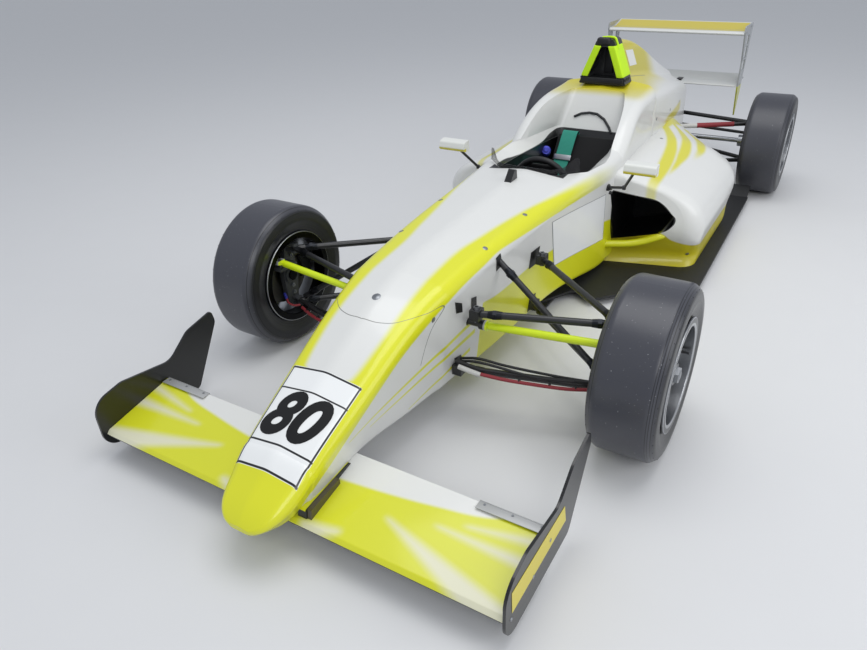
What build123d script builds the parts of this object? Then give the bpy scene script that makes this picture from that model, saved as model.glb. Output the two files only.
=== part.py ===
"""Open wheel racing car of the single seat junior class, as separate pieces in millimetres.

Frame: the ground is z = 0, the nose points to -Y, +X is the car's left and +Z is up. The origin
is on the ground under the middle of the car. Places along the car are stated as a distance
behind the front axle, and place(s) turns such a distance into the frame's Y.
"""

from build123d import *
import math
import os

# Driving dimensions
length = 4362.0
front_overhang = 1012.0
wheelbase = 2750.0
tail_end = length - front_overhang

front_tyre_radius = 278.0
front_tyre_width = 210.0
front_track = 1480.0
rear_tyre_radius = 286.0
rear_tyre_width = 228.0
rear_track = 1365.0
bead_radius = 166.0
rim_flange_radius = 181.0
running_gap = 0.05

front_wheel_x = front_track / 2
rear_wheel_x = rear_track / 2

nose_joint = -225.0
coaming_start = 1150.0
tub_end = 1712.0


def place(s):
    """Y of a point that lies s behind the front axle."""
    return s + front_overhang - length / 2


def spot(x, s, z):
    """Point from its distance off the centre, behind the front axle and above the ground."""
    return Vector(x, place(s), z)


def across(s):
    """Upright plane across the car at s, with its own X to the left and its own Y up."""
    return Plane(origin=(0, place(s), 0), x_dir=(1, 0, 0), z_dir=(0, -1, 0))


def level(z):
    """Level plane at height z, whose own Y is the frame's Y."""
    return Plane.XY.offset(z)


def rounded(plane, points, radii):
    """Face on a plane from corner points, each corner rounded by its own radius."""
    corners = [Vector(*point) for point in points]
    if not isinstance(radii, (list, tuple)):
        radii = [radii] * len(corners)
    edges = []
    stretches = []
    for index, corner in enumerate(corners):
        before = corners[index - 1] - corner
        after = corners[(index + 1) % len(corners)] - corner
        if radii[index] == 0:
            stretches.append((corner, corner))
            continue
        half = math.radians(before.get_angle(after)) / 2
        reach = min(radii[index] / math.tan(half), 0.48 * before.length, 0.48 * after.length)
        radius = reach * math.tan(half)
        start = corner + before.normalized() * reach
        stop = corner + after.normalized() * reach
        inward = (before.normalized() + after.normalized()).normalized()
        crown = corner + inward * (radius / math.sin(half) - radius)
        edges.append(ThreePointArc(start, crown, stop))
        stretches.append((start, stop))
    for index, (start, _) in enumerate(stretches):
        edges.append(Line(stretches[index - 1][1], start))
    return plane * make_face(edges)


def mirrored(points):
    """Corners of a symmetric outline from those of its left half, bottom to top."""
    return points + [(-x, z) for x, z in reversed(points)]


def rod(start, end, radius):
    """Round bar from one point to another."""
    run = end - start
    return Plane(origin=start, z_dir=run) * Cylinder(
        radius, run.length, align=(Align.CENTER, Align.CENTER, Align.MIN)
    )


def side_panel(points, radii, inner, outer):
    """Plate whose outline is given as (s, z) corners, from x = inner to x = outer."""
    plane = Plane(origin=(inner, place(0), 0), x_dir=(0, 1, 0), z_dir=(1, 0, 0))
    return extrude(rounded(plane, points, radii), outer - inner)


def plan_panel(points, radii, bottom, top):
    """Plate whose outline is given as (x, s) corners, from z = bottom to z = top."""
    outline = [(x, place(s)) for x, s in points]
    return extrude(rounded(level(bottom), outline, radii), top - bottom)


def block(x, s, z):
    """Block from its (low, high) pairs off the centre, behind the axle and above the ground."""
    size = (x[1] - x[0], s[1] - s[0], z[1] - z[0])
    middle = spot((x[0] + x[1]) / 2, (s[0] + s[1]) / 2, (z[0] + z[1]) / 2)
    return Pos(middle) * Box(*size)


def flip(shape):
    """The same shape on the car's right side."""
    return mirror(shape, about=Plane.YZ)


def both(shape):
    """The shape and its mirror image, as separate solids."""
    return Compound(children=[shape, flip(shape)])


def save(name, shape):
    """Write one piece to its own file."""
    shape.label = name
    export_step(shape, f"parts/{name}.step")


def save_pair(name, shape):
    """Write a left piece and its mirror image, each to its own file."""
    save(f"{name}_left", shape)
    save(f"{name}_right", flip(shape))


# Body sections, each a rounded outline of five corners
# columns: s, shoulder half width, shoulder z, centre z, floor half width, floor z, round
nose_tip_sections = (
    (-front_overhang, 40, 142, 146, 22, 130, 7),
    (-1002, 76, 152, 158, 42, 124, 14),
    (-982, 102, 168, 177, 56, 121, 21),
    (-948, 120, 190, 202, 72, 118, 28),
    (-900, 129, 219, 234, 84, 118, 32),
    (-840, 136, 253, 270, 90, 119, 35),
)
nose_sections = (
    (-840, 136, 253, 270, 90, 119, 35),
    (-720, 143, 313, 332, 97, 130, 39),
    (-600, 151, 369, 391, 104, 143, 42),
    (-480, 156, 426, 451, 116, 138, 45),
    (-360, 165, 473, 501, 127, 130, 47),
    (nose_joint, 184, 508, 537, 140, 122, 50),
)
tub_sections = (
    (nose_joint, 184, 508, 537, 140, 122, 50),
    (70, 204, 540, 567, 162, 116, 52),
    (390, 222, 560, 586, 178, 116, 54),
    (710, 246, 572, 598, 200, 104, 56),
    (1010, 272, 584, 606, 236, 66, 56),
    (coaming_start, 275, 592, 610, 242, 58, 56),
)
coaming_sections = (
    (coaming_start, 275, 592, 610, 242, 58, 56),
    (1240, 276, 654, 666, 246, 56, 54),
    (1335, 266, 704, 716, 248, 54, 50),
    (1500, 254, 744, 758, 250, 52, 46),
    (tub_end, 244, 762, 802, 250, 52, 60),
)


def body(sections):
    """Smooth body through a table of rounded sections."""
    faces = []
    for s, shoulder, shoulder_z, centre_z, foot, foot_z, turn in sections:
        corners = [(foot, foot_z), (shoulder, shoulder_z), (0, centre_z)]
        corners += [(-shoulder, shoulder_z), (-foot, foot_z)]
        radii = [turn * 0.6, turn, shoulder * 0.8, turn, turn * 0.6]
        faces.append(rounded(across(s), corners, radii))
    return loft(faces)


def nose_cone():
    """Crash nose from its round tip back to its joint with the tub."""
    return body(nose_tip_sections) + body(nose_sections)


# Left half of the cockpit hole at three heights, (half width, s) from front to back
well_plan = ((110, 728), (186, 856), (182, 1050), (172, 1250), (150, 1470))
deck_plan = ((120, 718), (232, 842), (266, 985), (204, 1190), (166, 1490))
rim_plan = ((120, 712), (232, 836), (268, 985), (212, 1385), (112, 1602))
cockpit_radii = (60, 70, 90, 60, 40)
cockpit_floor_z = 105.0
well_top_z = 545.0
deck_z = 590.0
rim_top_z = 820.0
leg_room = ((-140, 140), (-40, 760), (200, 500))


def around(half):
    """Whole outline from the left half of a plan, front to back."""
    return [tuple(p) for p in half] + [(-x, s) for x, s in reversed(half)]


def cockpit_level(plan, z, inset):
    """Level outline of the cockpit at height z, drawn in by an inset all round."""
    half = [(x - inset, s + inset * (1 if s < 1000 else -1)) for x, s in plan]
    outline = [(x, place(s)) for x, s in around(half)]
    return rounded(level(z), outline, list(cockpit_radii) + list(cockpit_radii[::-1]))


def cockpit_slopes(inset):
    """Space between the sloping sides of the cockpit, drawn in by an inset."""
    well = cockpit_level(well_plan, well_top_z, inset)
    deck = cockpit_level(deck_plan, deck_z, inset)
    return loft([well, deck]) + loft([deck, cockpit_level(rim_plan, rim_top_z, inset)])


def cockpit_hole():
    """Space of the cockpit: sloping sides below the rim, then an upright well to the floor."""
    well = cockpit_level(well_plan, cockpit_floor_z, 0)
    return cockpit_slopes(0) + extrude(well, well_top_z - cockpit_floor_z)


def survival_cell(shell):
    """Carbon tub with raised cockpit sides, hollow for the driver and their legs."""
    ends = (spot(-300, rack_s, rack_z), spot(300, rack_s, rack_z))
    return shell - cockpit_hole() - block(*leg_room) - rod(*ends, rack_radius + rack_gap)


screen_profile = ((690, 588), (808, 588), (806, 642), (794, 642), (756, 608), (690, 605))
screen_radii = (0, 0, 6, 6, 30, 0)
screen_reach = 260.0
screen_gap = 1.0
screen_thick = 4.0


def windscreen(shell):
    """Low smoked screen along the front rim of the cockpit, its ends turned up."""
    bent = cockpit_slopes(screen_gap) - cockpit_slopes(screen_gap + screen_thick)
    band = side_panel(screen_profile, screen_radii, -screen_reach, screen_reach)
    return (bent & band) - (shell - cockpit_hole())


camera_wedge = ((540, 580), (612, 582), (604, 628), (588, 634))
camera_half = 14.0


def camera_pod(shell):
    """Small fairing on the deck ahead of the cockpit."""
    return side_panel(camera_wedge, [4, 4, 6, 8], -camera_half, camera_half) - shell


# Engine cover: s, skirt half width, skirt z, shoulder half width, shoulder z, fin root
# half width, fin root z, fin half width, fin z
cover_sections = (
    (tub_end, 250, 330, 250, 728, 74, 800, 34, 968),
    (2000, 250, 330, 240, 696, 60, 768, 22, 925),
    (2400, 224, 330, 205, 648, 54, 706, 20, 800),
    (2830, 160, 335, 152, 575, 50, 622, 28, 655),
)
cover_skin = 14.0


def cover_face(row):
    """Outer section of the engine cover."""
    s, skirt, skirt_z, shoulder, shoulder_z, root, root_z, fin, fin_z = row
    corners = [(skirt, skirt_z), (shoulder, shoulder_z), (root, root_z), (fin, fin_z)]
    turn = fin * 0.8
    return rounded(across(s), mirrored(corners), [8, 60, 34, turn, turn, 34, 60, 8])


def cover_hollow(row):
    """Section of the space under the engine cover."""
    s, skirt, skirt_z, shoulder, shoulder_z, root, root_z, _, _ = row
    corners = [(skirt - cover_skin, skirt_z - 1), (shoulder - cover_skin, shoulder_z - cover_skin)]
    corners += [(root, root_z - cover_skin)]
    return rounded(across(s), mirrored(corners), [6, 46, 20, 20, 46, 6])


def engine_cover(cover_form):
    """Cover over the engine with its fin, open below and behind."""
    return cover_form - loft([cover_hollow(row) for row in cover_sections]) - rear_arm_room()


# Sidepod seen from above at each height: z, front s at the inner edge, outer front
# corner x and s, outer rear corner x and s, rear outer x and its s
pod_levels = (
    (42, 1195, 612, 1300, 612, 1980, 250, 2470),
    (140, 1190, 622, 1290, 628, 1990, 244, 2480),
    (240, 1130, 640, 1200, 645, 1980, 238, 2480),
    (340, 1090, 625, 1185, 640, 1950, 232, 2470),
    (430, 1065, 520, 1160, 540, 1900, 228, 2400),
    (498, 1050, 350, 1110, 390, 1800, 225, 2260),
    (524, 1046, 268, 1096, 280, 1740, 222, 2160),
)
pod_radii = (6, 90, 220, 4, 2)
pod_inner = 212.0
inlet_outline = ((262, 434), (455, 394), (544, 308), (482, 240), (262, 176))
inlet_radii = (6, 60, 55, 60, 6)
inlet_front = 1000.0
inlet_back = 1520.0
radiator_depth = 40.0


def sidepod(tub_form, cover_form):
    """Left sidepod with its air inlet, resting against the tub and the engine cover."""
    faces = []
    for z, front, x1, s1, x2, s2, x3, s3 in pod_levels:
        points = ((pod_inner, front), (x1, s1), (x2, s2), (x3, s3), (pod_inner, s3))
        outline = [(x, place(s)) for x, s in points]
        faces.append(rounded(level(z), outline, pod_radii))
    mouth = rounded(across(inlet_back), inlet_outline, inlet_radii)
    inlet = extrude(mouth, inlet_back - inlet_front)
    return loft(faces) - inlet - tub_form - cover_form - rear_arm_room()


def radiators():
    """Plain radiator block across the end of each inlet."""
    return both(extrude(rounded(across(inlet_back), inlet_outline, inlet_radii), radiator_depth))


# Floor seen from above, (x, s)
floor_bottom = 30.0
floor_top = 42.0
floor_plan = ((92, 610), (205, 836), (300, 780), (470, 975), (684, 1116), (674, 2440), (500, 2520))
floor_radii = (20, 24, 24, 60, 40, 25, 25)
plank = ((-150, 150), (640, 2480), (20, floor_bottom))
diffuser_start = 2500.0
diffuser_end = 2960.0
diffuser_rise = 110.0
diffuser_half = 330.0
diffuser_skin = 8.0
strake_thick = 6.0
strake_places = (-diffuser_half, -110.0, 110.0, diffuser_half - strake_thick)
flap_profile = ((2436, floor_bottom), (2520, 78), (2520, 86), (2436, floor_top))
flap_inner = 520.0
flap_outer = 668.0


def floor_panel():
    """Flat floor with its forward tray, its plank, and the diffuser with its strakes."""
    outline = around(floor_plan)
    shape = plan_panel(outline, floor_radii + floor_radii[::-1], floor_bottom, floor_top)
    shape += block(*plank)
    low, high = floor_bottom, floor_bottom + diffuser_rise
    ramp = (
        (diffuser_start, low), (diffuser_end, high),
        (diffuser_end, high + diffuser_skin), (diffuser_start, floor_top),
    )
    shape += side_panel(ramp, 0, -diffuser_half, diffuser_half)
    fence = (
        (diffuser_start, low), (diffuser_end, low + 22),
        (diffuser_end, high + 4), (diffuser_start, low + 4),
    )
    for x in strake_places:
        shape += side_panel(fence, 0, x, x + strake_thick)
    flap = side_panel(flap_profile, 0, flap_inner, flap_outer)
    return shape + flap + flip(flap)


# Front wing section as (s, z) corners, leading edge first
front_wing_span = 699.0
front_wing_section = (
    (-899, 86), (-885, 101), (-785, 121), (-637, 151), (-637, 147), (-765, 96), (-870, 77),
)
wing_radii = (5, 8, 90, 1, 1, 90, 8)
wing_end = 8.0


def front_wing(nose):
    """Main plane from one endplate to the other, under the nose."""
    return side_panel(front_wing_section, wing_radii, -front_wing_span, front_wing_span) - nose


front_endplate = (
    (-908, 34), (-912, 210), (-800, 232), (-610, 205), (-520, 275), (-405, 300), (-395, 255), (-520, 40),
)
front_endplate_radii = (60, 80, 60, 60, 60, 12, 30, 30)


def front_wing_endplates():
    """Upright plates on the two ends of the front wing."""
    inner = front_wing_span
    return both(side_panel(front_endplate, front_endplate_radii, inner, inner + wing_end))


wing_blade = ((-878, 92), (-676, 128), (-676, 150), (-872, 130))
wing_rail = ((-874, 100), (-745, 122), (-745, 148), (-868, 134))


def front_wing_brackets(nose, wing):
    """Blades that carry the front wing from the sides of the nose."""
    blade = side_panel(wing_blade, 8, 78, 108) + side_panel(wing_rail, 4, 108, 122)
    return both(blade - nose - wing)


# Roll hoop seen from the front, (x, z)
hoop_front = 1606.0
hoop_back = 1712.0
hoop_wall = 12.0
hoop_outline = ((118, 776), (40, 985), (-40, 985), (-118, 776))
intake_outline = ((84, 806), (24, 948), (-24, 948), (-84, 806))


def roll_hoop(tub_form):
    """Triangular hoop over the driver's head, with the air intake through its front."""
    outer = rounded(across(hoop_back), hoop_outline, [6, 30, 30, 6])
    inner = rounded(across(hoop_back - hoop_wall), intake_outline, 12)
    depth = hoop_back - hoop_front
    return extrude(outer, depth) - extrude(inner, depth) - tub_form


engine_block = ((-185, 185), (1740, 2280), (62, 590))


def engine():
    """Plain block of the four cylinder engine and its clutch housing."""
    return block(*engine_block)


# Gearbox case and crash box: s, half width below, z below, half width above, z above, round
gearbox_ends = ((2280, 120, 110, 130, 400, 30), (3040, 78, 190, 82, 420, 24))
crash_box_ends = ((3040, 70, 250, 72, 415, 20), (tail_end - 14, 48, 270, 48, 385, 16))
tail_post = ((3080, 380), (3200, 380), (3180, 548), (3060, 540))
tail_post_half = 12.0
rain_light_size = (76, 14, 92)
rain_light_z = 328.0


def tapered_case(ends):
    """Case lofted between its two end sections."""
    faces = []
    for s, low_half, low_z, high_half, high_z, turn in ends:
        corners = [(low_half, low_z), (high_half, high_z)]
        faces.append(rounded(across(s), mirrored(corners), turn))
    return loft(faces)


def tail_structure():
    """Crash box behind the gearbox with the post of the beam wing."""
    return tapered_case(crash_box_ends) + side_panel(tail_post, 6, -tail_post_half, tail_post_half)


def rain_light():
    """Rear lamp on the end of the crash box."""
    return Pos(spot(0, tail_end - rain_light_size[1] / 2, rain_light_z)) * Box(*rain_light_size)


# Rear wing, sections and endplate as (s, z) corners
rear_wing_span = 416.0
rear_wing_section = (
    (2944, 862), (2960, 874), (3060, 876), (3182, 905), (3182, 901), (3060, 856), (2960, 852),
)
beam_wing_section = (
    (3010, 547), (3030, 556), (3110, 566), (3190, 600), (3190, 596), (3110, 550), (3030, 542),
)
plane_radii = (5, 8, 60, 1, 1, 60, 8)
rear_endplate = (
    (2946, 872), (3010, 700), (3014, 540), (3066, 362), (3080, 362),
    (3122, 500), (3160, 700), (3196, 905), (2950, 905),
)
rear_endplate_radii = (10, 30, 30, 6, 6, 30, 30, 10, 10)
endplate_window_s = (3030, 3120)
endplate_windows = ((640, 700), (712, 780), (792, 845))


def rear_wing():
    """Main plane of the rear wing."""
    return side_panel(rear_wing_section, plane_radii, -rear_wing_span, rear_wing_span)


def beam_wing(tail):
    """Lower plane of the rear wing, on the post of the crash box."""
    return side_panel(beam_wing_section, plane_radii, -rear_wing_span, rear_wing_span) - tail


def rear_wing_endplates():
    """Upright plates that join the two planes of the rear wing."""
    inner, outer = rear_wing_span, rear_wing_span + wing_end
    plate = side_panel(rear_endplate, rear_endplate_radii, inner, outer)
    for window_z in endplate_windows:
        plate -= block((inner - 5, outer + 5), endplate_window_s, window_z)
    return both(plate)


# Seat and belts seen from the side, (s, z)
seat_half = 138.0
seat_profile = (
    (860, 112), (1130, 114), (1190, 140), (1455, 556), (1433, 562), (1166, 170), (1116, 142), (860, 140),
)
seat_radii = (4, 40, 60, 8, 8, 60, 40, 4)
belt_profile = (
    (1010, 144), (1112, 146), (1160, 172), (1427, 564), (1423, 565), (1156, 175), (1108, 150), (1010, 148),
)
belt_radii = (0, 30, 50, 0, 0, 50, 30, 0)
belt_inner = 34.0
belt_outer = 84.0
buckle_block = ((-28, 28), (1030, 1085), (142, 164))


def seat():
    """Moulded seat from the thighs up the back."""
    return side_panel(seat_profile, seat_radii, -seat_half, seat_half)


def harness(seat_form):
    """Two shoulder belts that lie down the seat to the buckle."""
    belt = side_panel(belt_profile, belt_radii, belt_inner, belt_outer) - seat_form
    return Compound(children=[belt, flip(belt), block(*buckle_block)])


column_foot = spot(0, 300, 330)
steering_wheel_centre = spot(0, 905, 480)
column_run = (steering_wheel_centre - column_foot).normalized()
column_radius = 14.0
grip_radius = 13.0
grip_ring = 118.0
hub_plate = ((-112, -34), (-112, 34), (112, 34), (112, -34))
hub_plate_thick = 12.0
dash_block = ((-190, 190), (752, 768), (390, 545))


def dashboard(cell):
    """Panel under the screen with a hole for the steering column."""
    return block(*dash_block) - rod(column_foot, steering_wheel_centre, column_radius + 8) - cell


def steering_wheel():
    """Small wheel with its hub plate and the upper column."""
    plane = Plane(origin=steering_wheel_centre, x_dir=(1, 0, 0), z_dir=column_run)
    ring = plane * Torus(grip_ring, grip_radius)
    plate = extrude(rounded(plane, hub_plate, 16), hub_plate_thick)
    return ring + plate + rod(column_foot, steering_wheel_centre, column_radius)


# Mirror housing seen from the side, and the bends of its arm
mirror_profile = ((852, 586), (908, 582), (908, 632), (866, 626))
mirror_inner = 362.0
mirror_outer = 490.0
mirror_arm = (spot(262, 1000, 474), spot(345, 962, 496), spot(400, 885, 590))
mirror_arm_radius = 6.0
mirror_joint = 8.0


def mirrors(tub_form):
    """Two mirrors, each on a bent arm from the side of the tub."""
    foot, bend, head = mirror_arm
    half_joint = Vector(0, 0, mirror_joint)
    arm = rod(foot, bend, mirror_arm_radius) + rod(bend, head, mirror_arm_radius)
    arm += rod(bend - half_joint, bend + half_joint, mirror_joint)
    housing = side_panel(mirror_profile, [14, 6, 6, 16], mirror_inner, mirror_outer)
    return both(housing + arm - tub_form)


# Front suspension, left side: kingpin and pick-up points
kingpin_low = spot(660, 0, 165)
kingpin_high = spot(646, 6, 395)
kingpin_run = (kingpin_high - kingpin_low).normalized()
pin_radius = 6.0
eye_radius = 15.0
eye_height = 16.0
wishbone_radius = 12.0
rack_s = -90.0
rack_z = 333.0
rack_radius = 11.0
rack_gap = 4.0
rack_half = 236.0
steering_arm_pin = spot(648, -85, 372)
arm_pin_radius = 5.0
track_rod_radius = 10.0
rod_eye_gap = 6.0
rod_eye_radius = 20.0
rod_eye_height = 12.0
# outer end, front inner end, rear inner end
front_legs = (
    (kingpin_high, spot(212, -110, 380), spot(236, 363, 388)),
    (kingpin_low, spot(172, -155, 186), spot(196, 400, 172)),
)
bracket_size = (34, 40, 36)
push_foot = spot(622, 0, 192)
push_head = spot(190, 85, 487)
push_radius = 11.0


def square_to(run, at):
    """Plane across a line of travel at a point."""
    return Plane(origin=at, x_dir=(1, 0, -run.X / run.Z), z_dir=run)


def pin_eye(at):
    """Ring of a ball joint about the kingpin, without its bore."""
    return square_to(kingpin_run, at) * Cylinder(eye_radius, eye_height)


def kingpin_bore(at):
    """Bore that the kingpin runs in."""
    return square_to(kingpin_run, at) * Cylinder(pin_radius + running_gap, eye_height * 2)


def front_brackets(tub_form):
    """Blocks that carry the front wishbones on both sides of the tub."""
    blocks = []
    for _, front, rear in front_legs:
        blocks += [Pos(at) * Box(*bracket_size) - tub_form for at in (front, rear)]
    parts = [piece for shape in blocks for piece in shape.solids()]
    return Compound(children=parts + [flip(piece) for piece in parts])


def front_wishbones(brackets):
    """Upper and lower wishbones of both front corners."""
    arms = []
    for outer, front, rear in front_legs:
        arm = rod(front, outer, wishbone_radius) + rod(rear, outer, wishbone_radius)
        arm -= square_to(kingpin_run, outer) * Cylinder(eye_radius - 1, eye_height * 3)
        arm += pin_eye(outer)
        arm -= kingpin_bore(outer)
        arms.append(arm - brackets)
    return Compound(children=arms + [flip(arm) for arm in arms])


def front_pushrods(wishbones, tub_form):
    """Push rods from the lower wishbones up into the tub."""
    return both(rod(push_foot, push_head, push_radius) - wishbones - tub_form)


upright_inner = 682.0
upright_outer = 704.0
fork_root = upright_inner + 4
front_hub_z = front_tyre_radius
upright_outline = ((-26, 150), (26, 150), (40, front_hub_z), (24, 410), (-12, 410), (-40, front_hub_z))
upright_radii = (10, 10, 30, 10, 10, 30)
lug_radius = 13.0
lug_thick = 9.0
lug_gap = 1.0
boss_radius = 34.0
steering_arm_s = (-100, -10)
steering_arm_z = (336, 347)


def pin_lug(at):
    """Fork from the upright that holds one end of the kingpin in a wishbone's eye."""
    lugs = []
    for side in (1, -1):
        middle = at + kingpin_run * (side * (eye_height / 2 + lug_gap + lug_thick / 2))
        cheek = square_to(kingpin_run, middle)
        reach = fork_root - at.X
        lug = cheek * Cylinder(lug_radius, lug_thick)
        lugs.append(lug + cheek * Pos(reach / 2, 0, 0) * Box(reach, lug_radius * 2, lug_thick))
    pin = square_to(kingpin_run, at) * Cylinder(pin_radius, eye_height + lug_thick * 2)
    return lugs[0] + lugs[1] + pin


def front_upright():
    """Left front upright with its forks, steering arm and axle bore."""
    plate = side_panel(upright_outline, upright_radii, upright_inner, upright_outer)
    plate += pin_lug(kingpin_low) + pin_lug(kingpin_high)
    plate += block((steering_arm_pin.X - 15, fork_root), steering_arm_s, steering_arm_z)
    pin_ends = (steering_arm_pin - Vector(0, 0, 30), steering_arm_pin + Vector(0, 0, 12))
    plate += rod(*pin_ends, arm_pin_radius)
    axle = (spot(600, 0, front_hub_z), spot(760, 0, front_hub_z))
    boss = (spot(upright_inner - 8, 0, front_hub_z), spot(upright_outer + 2, 0, front_hub_z))
    return plate + rod(*boss, boss_radius) - rod(*axle, hub_radius + running_gap)


def steering_rack():
    """Rack bar across the tub with a track rod on each end."""
    eye_at = steering_arm_pin
    end = spot(rack_half, rack_s, rack_z)
    bar = rod(spot(-rack_half, rack_s, rack_z), end, rack_radius)
    track = rod(spot(rack_half - 4, rack_s, rack_z), eye_at, track_rod_radius)
    track += Pos(eye_at) * Cylinder(rod_eye_radius, rod_eye_height)
    track -= Pos(eye_at) * Cylinder(arm_pin_radius + rod_eye_gap, rod_eye_height * 5)
    track += rod(end - Vector(20, 0, 0), end + Vector(8, 0, 0), rack_radius + 6)
    return bar + track + flip(track)


# Wheels turn about an axis along X through their middle
front_rim_half = 103.0
rear_rim_half = 112.0
spoke_count = 10
hub_radius = 22.0
nut_radius = 34.0
spoke_face = 52.0
spoke_window = ((70, -12), (146, -35), (146, 35), (70, 12))
barrel_thick = 13.0
disc_radius = 122.0
disc_inner = 56.0
disc_thick = 18.0
bell_radius = 58.0


def about_axle(corners, radii, x, s, z):
    """Ring turned about a wheel's axle from (radius, distance along X) corners."""
    plane = Plane(origin=spot(x, s, z), x_dir=(0, 0, 1), z_dir=(0, -1, 0))
    face = rounded(plane, [(r, -a) for r, a in corners], radii)
    return revolve(face, Axis(spot(x, s, z), (1, 0, 0)))


def tyre(x, s, radius, width, rim_half):
    """Slick tyre with rounded shoulders, seated on the rim's beads."""
    half = width / 2
    bead = rim_half - 16
    edge = (
        (bead_radius, bead), (rim_flange_radius + 3, bead + 7),
        (radius - 52, half), (radius - 20, half - 3), (radius, half - 26),
    )
    ring = [(r, -a) for r, a in edge] + [(r, a) for r, a in reversed(edge)]
    radii = [3, 6, 24, 22, 26]
    return about_axle(ring, radii + radii[::-1], x, s, radius)


def rim(x, s, z, half, axle_end):
    """Left alloy rim with spokes, hub, stub axle and centre nut."""
    inside = bead_radius - barrel_thick
    flange = rim_flange_radius
    edge = ((inside, half), (flange, half), (flange, half - 6), (bead_radius, half - 14))
    ring = [(r, -a) for r, a in edge] + [(r, a) for r, a in reversed(edge)]
    wheel = about_axle(ring, [3, 2, 2, 4, 4, 2, 2, 3], x, s, z)
    face = (
        (1, spoke_face - 12), (60, spoke_face - 12), (inside + 5, spoke_face - 6),
        (inside + 5, spoke_face + 6), (60, spoke_face + 16), (1, spoke_face + 16),
    )
    wheel += about_axle(face, 0, x, s, z)
    for turn in range(spoke_count):
        angle = math.radians(360 / spoke_count * turn)
        spoke_dir = (0, math.cos(angle), math.sin(angle))
        window = Plane(origin=spot(x, s, z), x_dir=spoke_dir, z_dir=(1, 0, 0))
        wheel -= extrude(rounded(window, spoke_window, [8, 14, 14, 8]), half + 10)
    wheel += rod(spot(axle_end, s, z), spot(x + spoke_face + 40, s, z), hub_radius)
    return wheel + rod(spot(x + spoke_face + 10, s, z), spot(x + spoke_face + 34, s, z), nut_radius)


def brake_disc(x, s, z, start):
    """Left vented disc on its bell, which meets the back of the spokes."""
    end = start + disc_thick
    middle = start + disc_thick / 2
    back = x + spoke_face - 12
    disc = ((disc_inner, start), (disc_radius, start), (disc_radius, end), (disc_inner, end))
    bell = ((hub_radius, middle), (bell_radius, middle), (bell_radius, back), (hub_radius, back))
    shape = about_axle([(r, a - x) for r, a in disc], 0, x, s, z)
    return shape + about_axle([(r, a - x) for r, a in bell], 0, x, s, z)


caliper_half = 36.0
caliper_reach = 44.0
caliper_outer = 140.0
caliper_inner = 84.0


def caliper(s, z, start, shift):
    """Brake caliper that straddles the disc, with its foot on the upright; left side."""
    middle = s + shift
    casting = block(
        (start - 16, start + 34),
        (middle - caliper_half, middle + caliper_half),
        (z - caliper_reach, z + caliper_reach),
    )
    slot = block((start - 5, start + 23), (middle - 50, middle + 50), (z - 60, z + 60))
    ends = (spot(start - 60, s, z), spot(start + 60, s, z))
    bridge = rod(*ends, disc_radius + 7)
    return (casting & rod(*ends, caliper_outer)) - rod(*ends, caliper_inner) - (slot & bridge)


front_disc_start = 712.0
rear_disc_start = 646.0
caliper_shift = 96.0

# Rear suspension, left side
rear_upright_inner = 604.0
rear_upright_outer = 634.0
rear_ball_x = 596.0
# outer end, front inner end, rear inner end
rear_legs = (
    (spot(rear_ball_x, wheelbase + 6, 395), spot(128, wheelbase - 190, 372), spot(88, wheelbase + 160, 392)),
    (spot(rear_ball_x, wheelbase, 175), spot(124, wheelbase - 240, 168), spot(84, wheelbase + 170, 205)),
)
toe_link = (spot(100, wheelbase + 150, 318), spot(rear_upright_inner + 5, wheelbase + 58, 318))
toe_link_radius = 9.0
arm_room = 20.0
shaft_room = 50.0
past_arms = ((rear_upright_inner, 700), (2500, 3000), (0, 600))
# along the shaft: from x, to x, radius
shaft_steps = (
    (110, rear_upright_inner - 6, 14), (110, 175, 42), (520, rear_upright_inner - 6, 34),
)
# half width along the car at each height of the rear upright
rear_upright_outline = ((34, 152), (46, rear_tyre_radius), (30, 418))


def rear_arm_room():
    """Room that the bodywork leaves round the rear suspension's arms, on both sides."""
    legs = [rod(inner, outer, arm_room) for outer, *inners in rear_legs for inner in inners]
    shaft = rod(spot(0, wheelbase, rear_tyre_radius), spot(500, wheelbase, rear_tyre_radius), shaft_room)
    room = legs[0] + legs[1] + legs[2] + legs[3] + rod(*toe_link, arm_room) + shaft
    return room + flip(room)


def rear_upright():
    """Left rear upright with its axle bore."""
    z = rear_tyre_radius
    corners = mirrored(list(rear_upright_outline))
    outline = [(wheelbase + s, height) for s, height in corners]
    plate = side_panel(outline, [10, 30, 10, 10, 30, 10], rear_upright_inner, rear_upright_outer)
    return plate - rod(spot(560, wheelbase, z), spot(700, wheelbase, z), hub_radius + running_gap)


def rear_wishbones(gear):
    """Wishbones and toe links of both rear corners, from the gearbox to the uprights."""
    arms = []
    for outer, front, rear in rear_legs:
        end = spot(rear_upright_inner, outer.Y - place(0), outer.Z)
        arm = rod(front, end, wishbone_radius) + rod(rear, end, wishbone_radius)
        arms.append(arm - block(*past_arms) - gear)
    arms.append(rod(*toe_link, toe_link_radius) - block(*past_arms) - gear)
    return Compound(children=arms + [flip(arm) for arm in arms])


def driveshafts(gear):
    """Driveshafts with their joint housings."""
    z = rear_tyre_radius
    pieces = [rod(spot(a, wheelbase, z), spot(b, wheelbase, z), r) for a, b, r in shaft_steps]
    return both(pieces[0] + pieces[1] + pieces[2] - gear)


exhaust_ends = (spot(-88, 2300, 462), spot(-88, 2930, 462))
exhaust_radius = 26.0
# Points that a brake hose passes on its way out along the lower wishbone
hose_route = ((170, -176, 226), (260, -168, 214), (400, -122, 206), (520, -74, 200), (604, -40, 196))
hose_radius = 6.0


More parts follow.
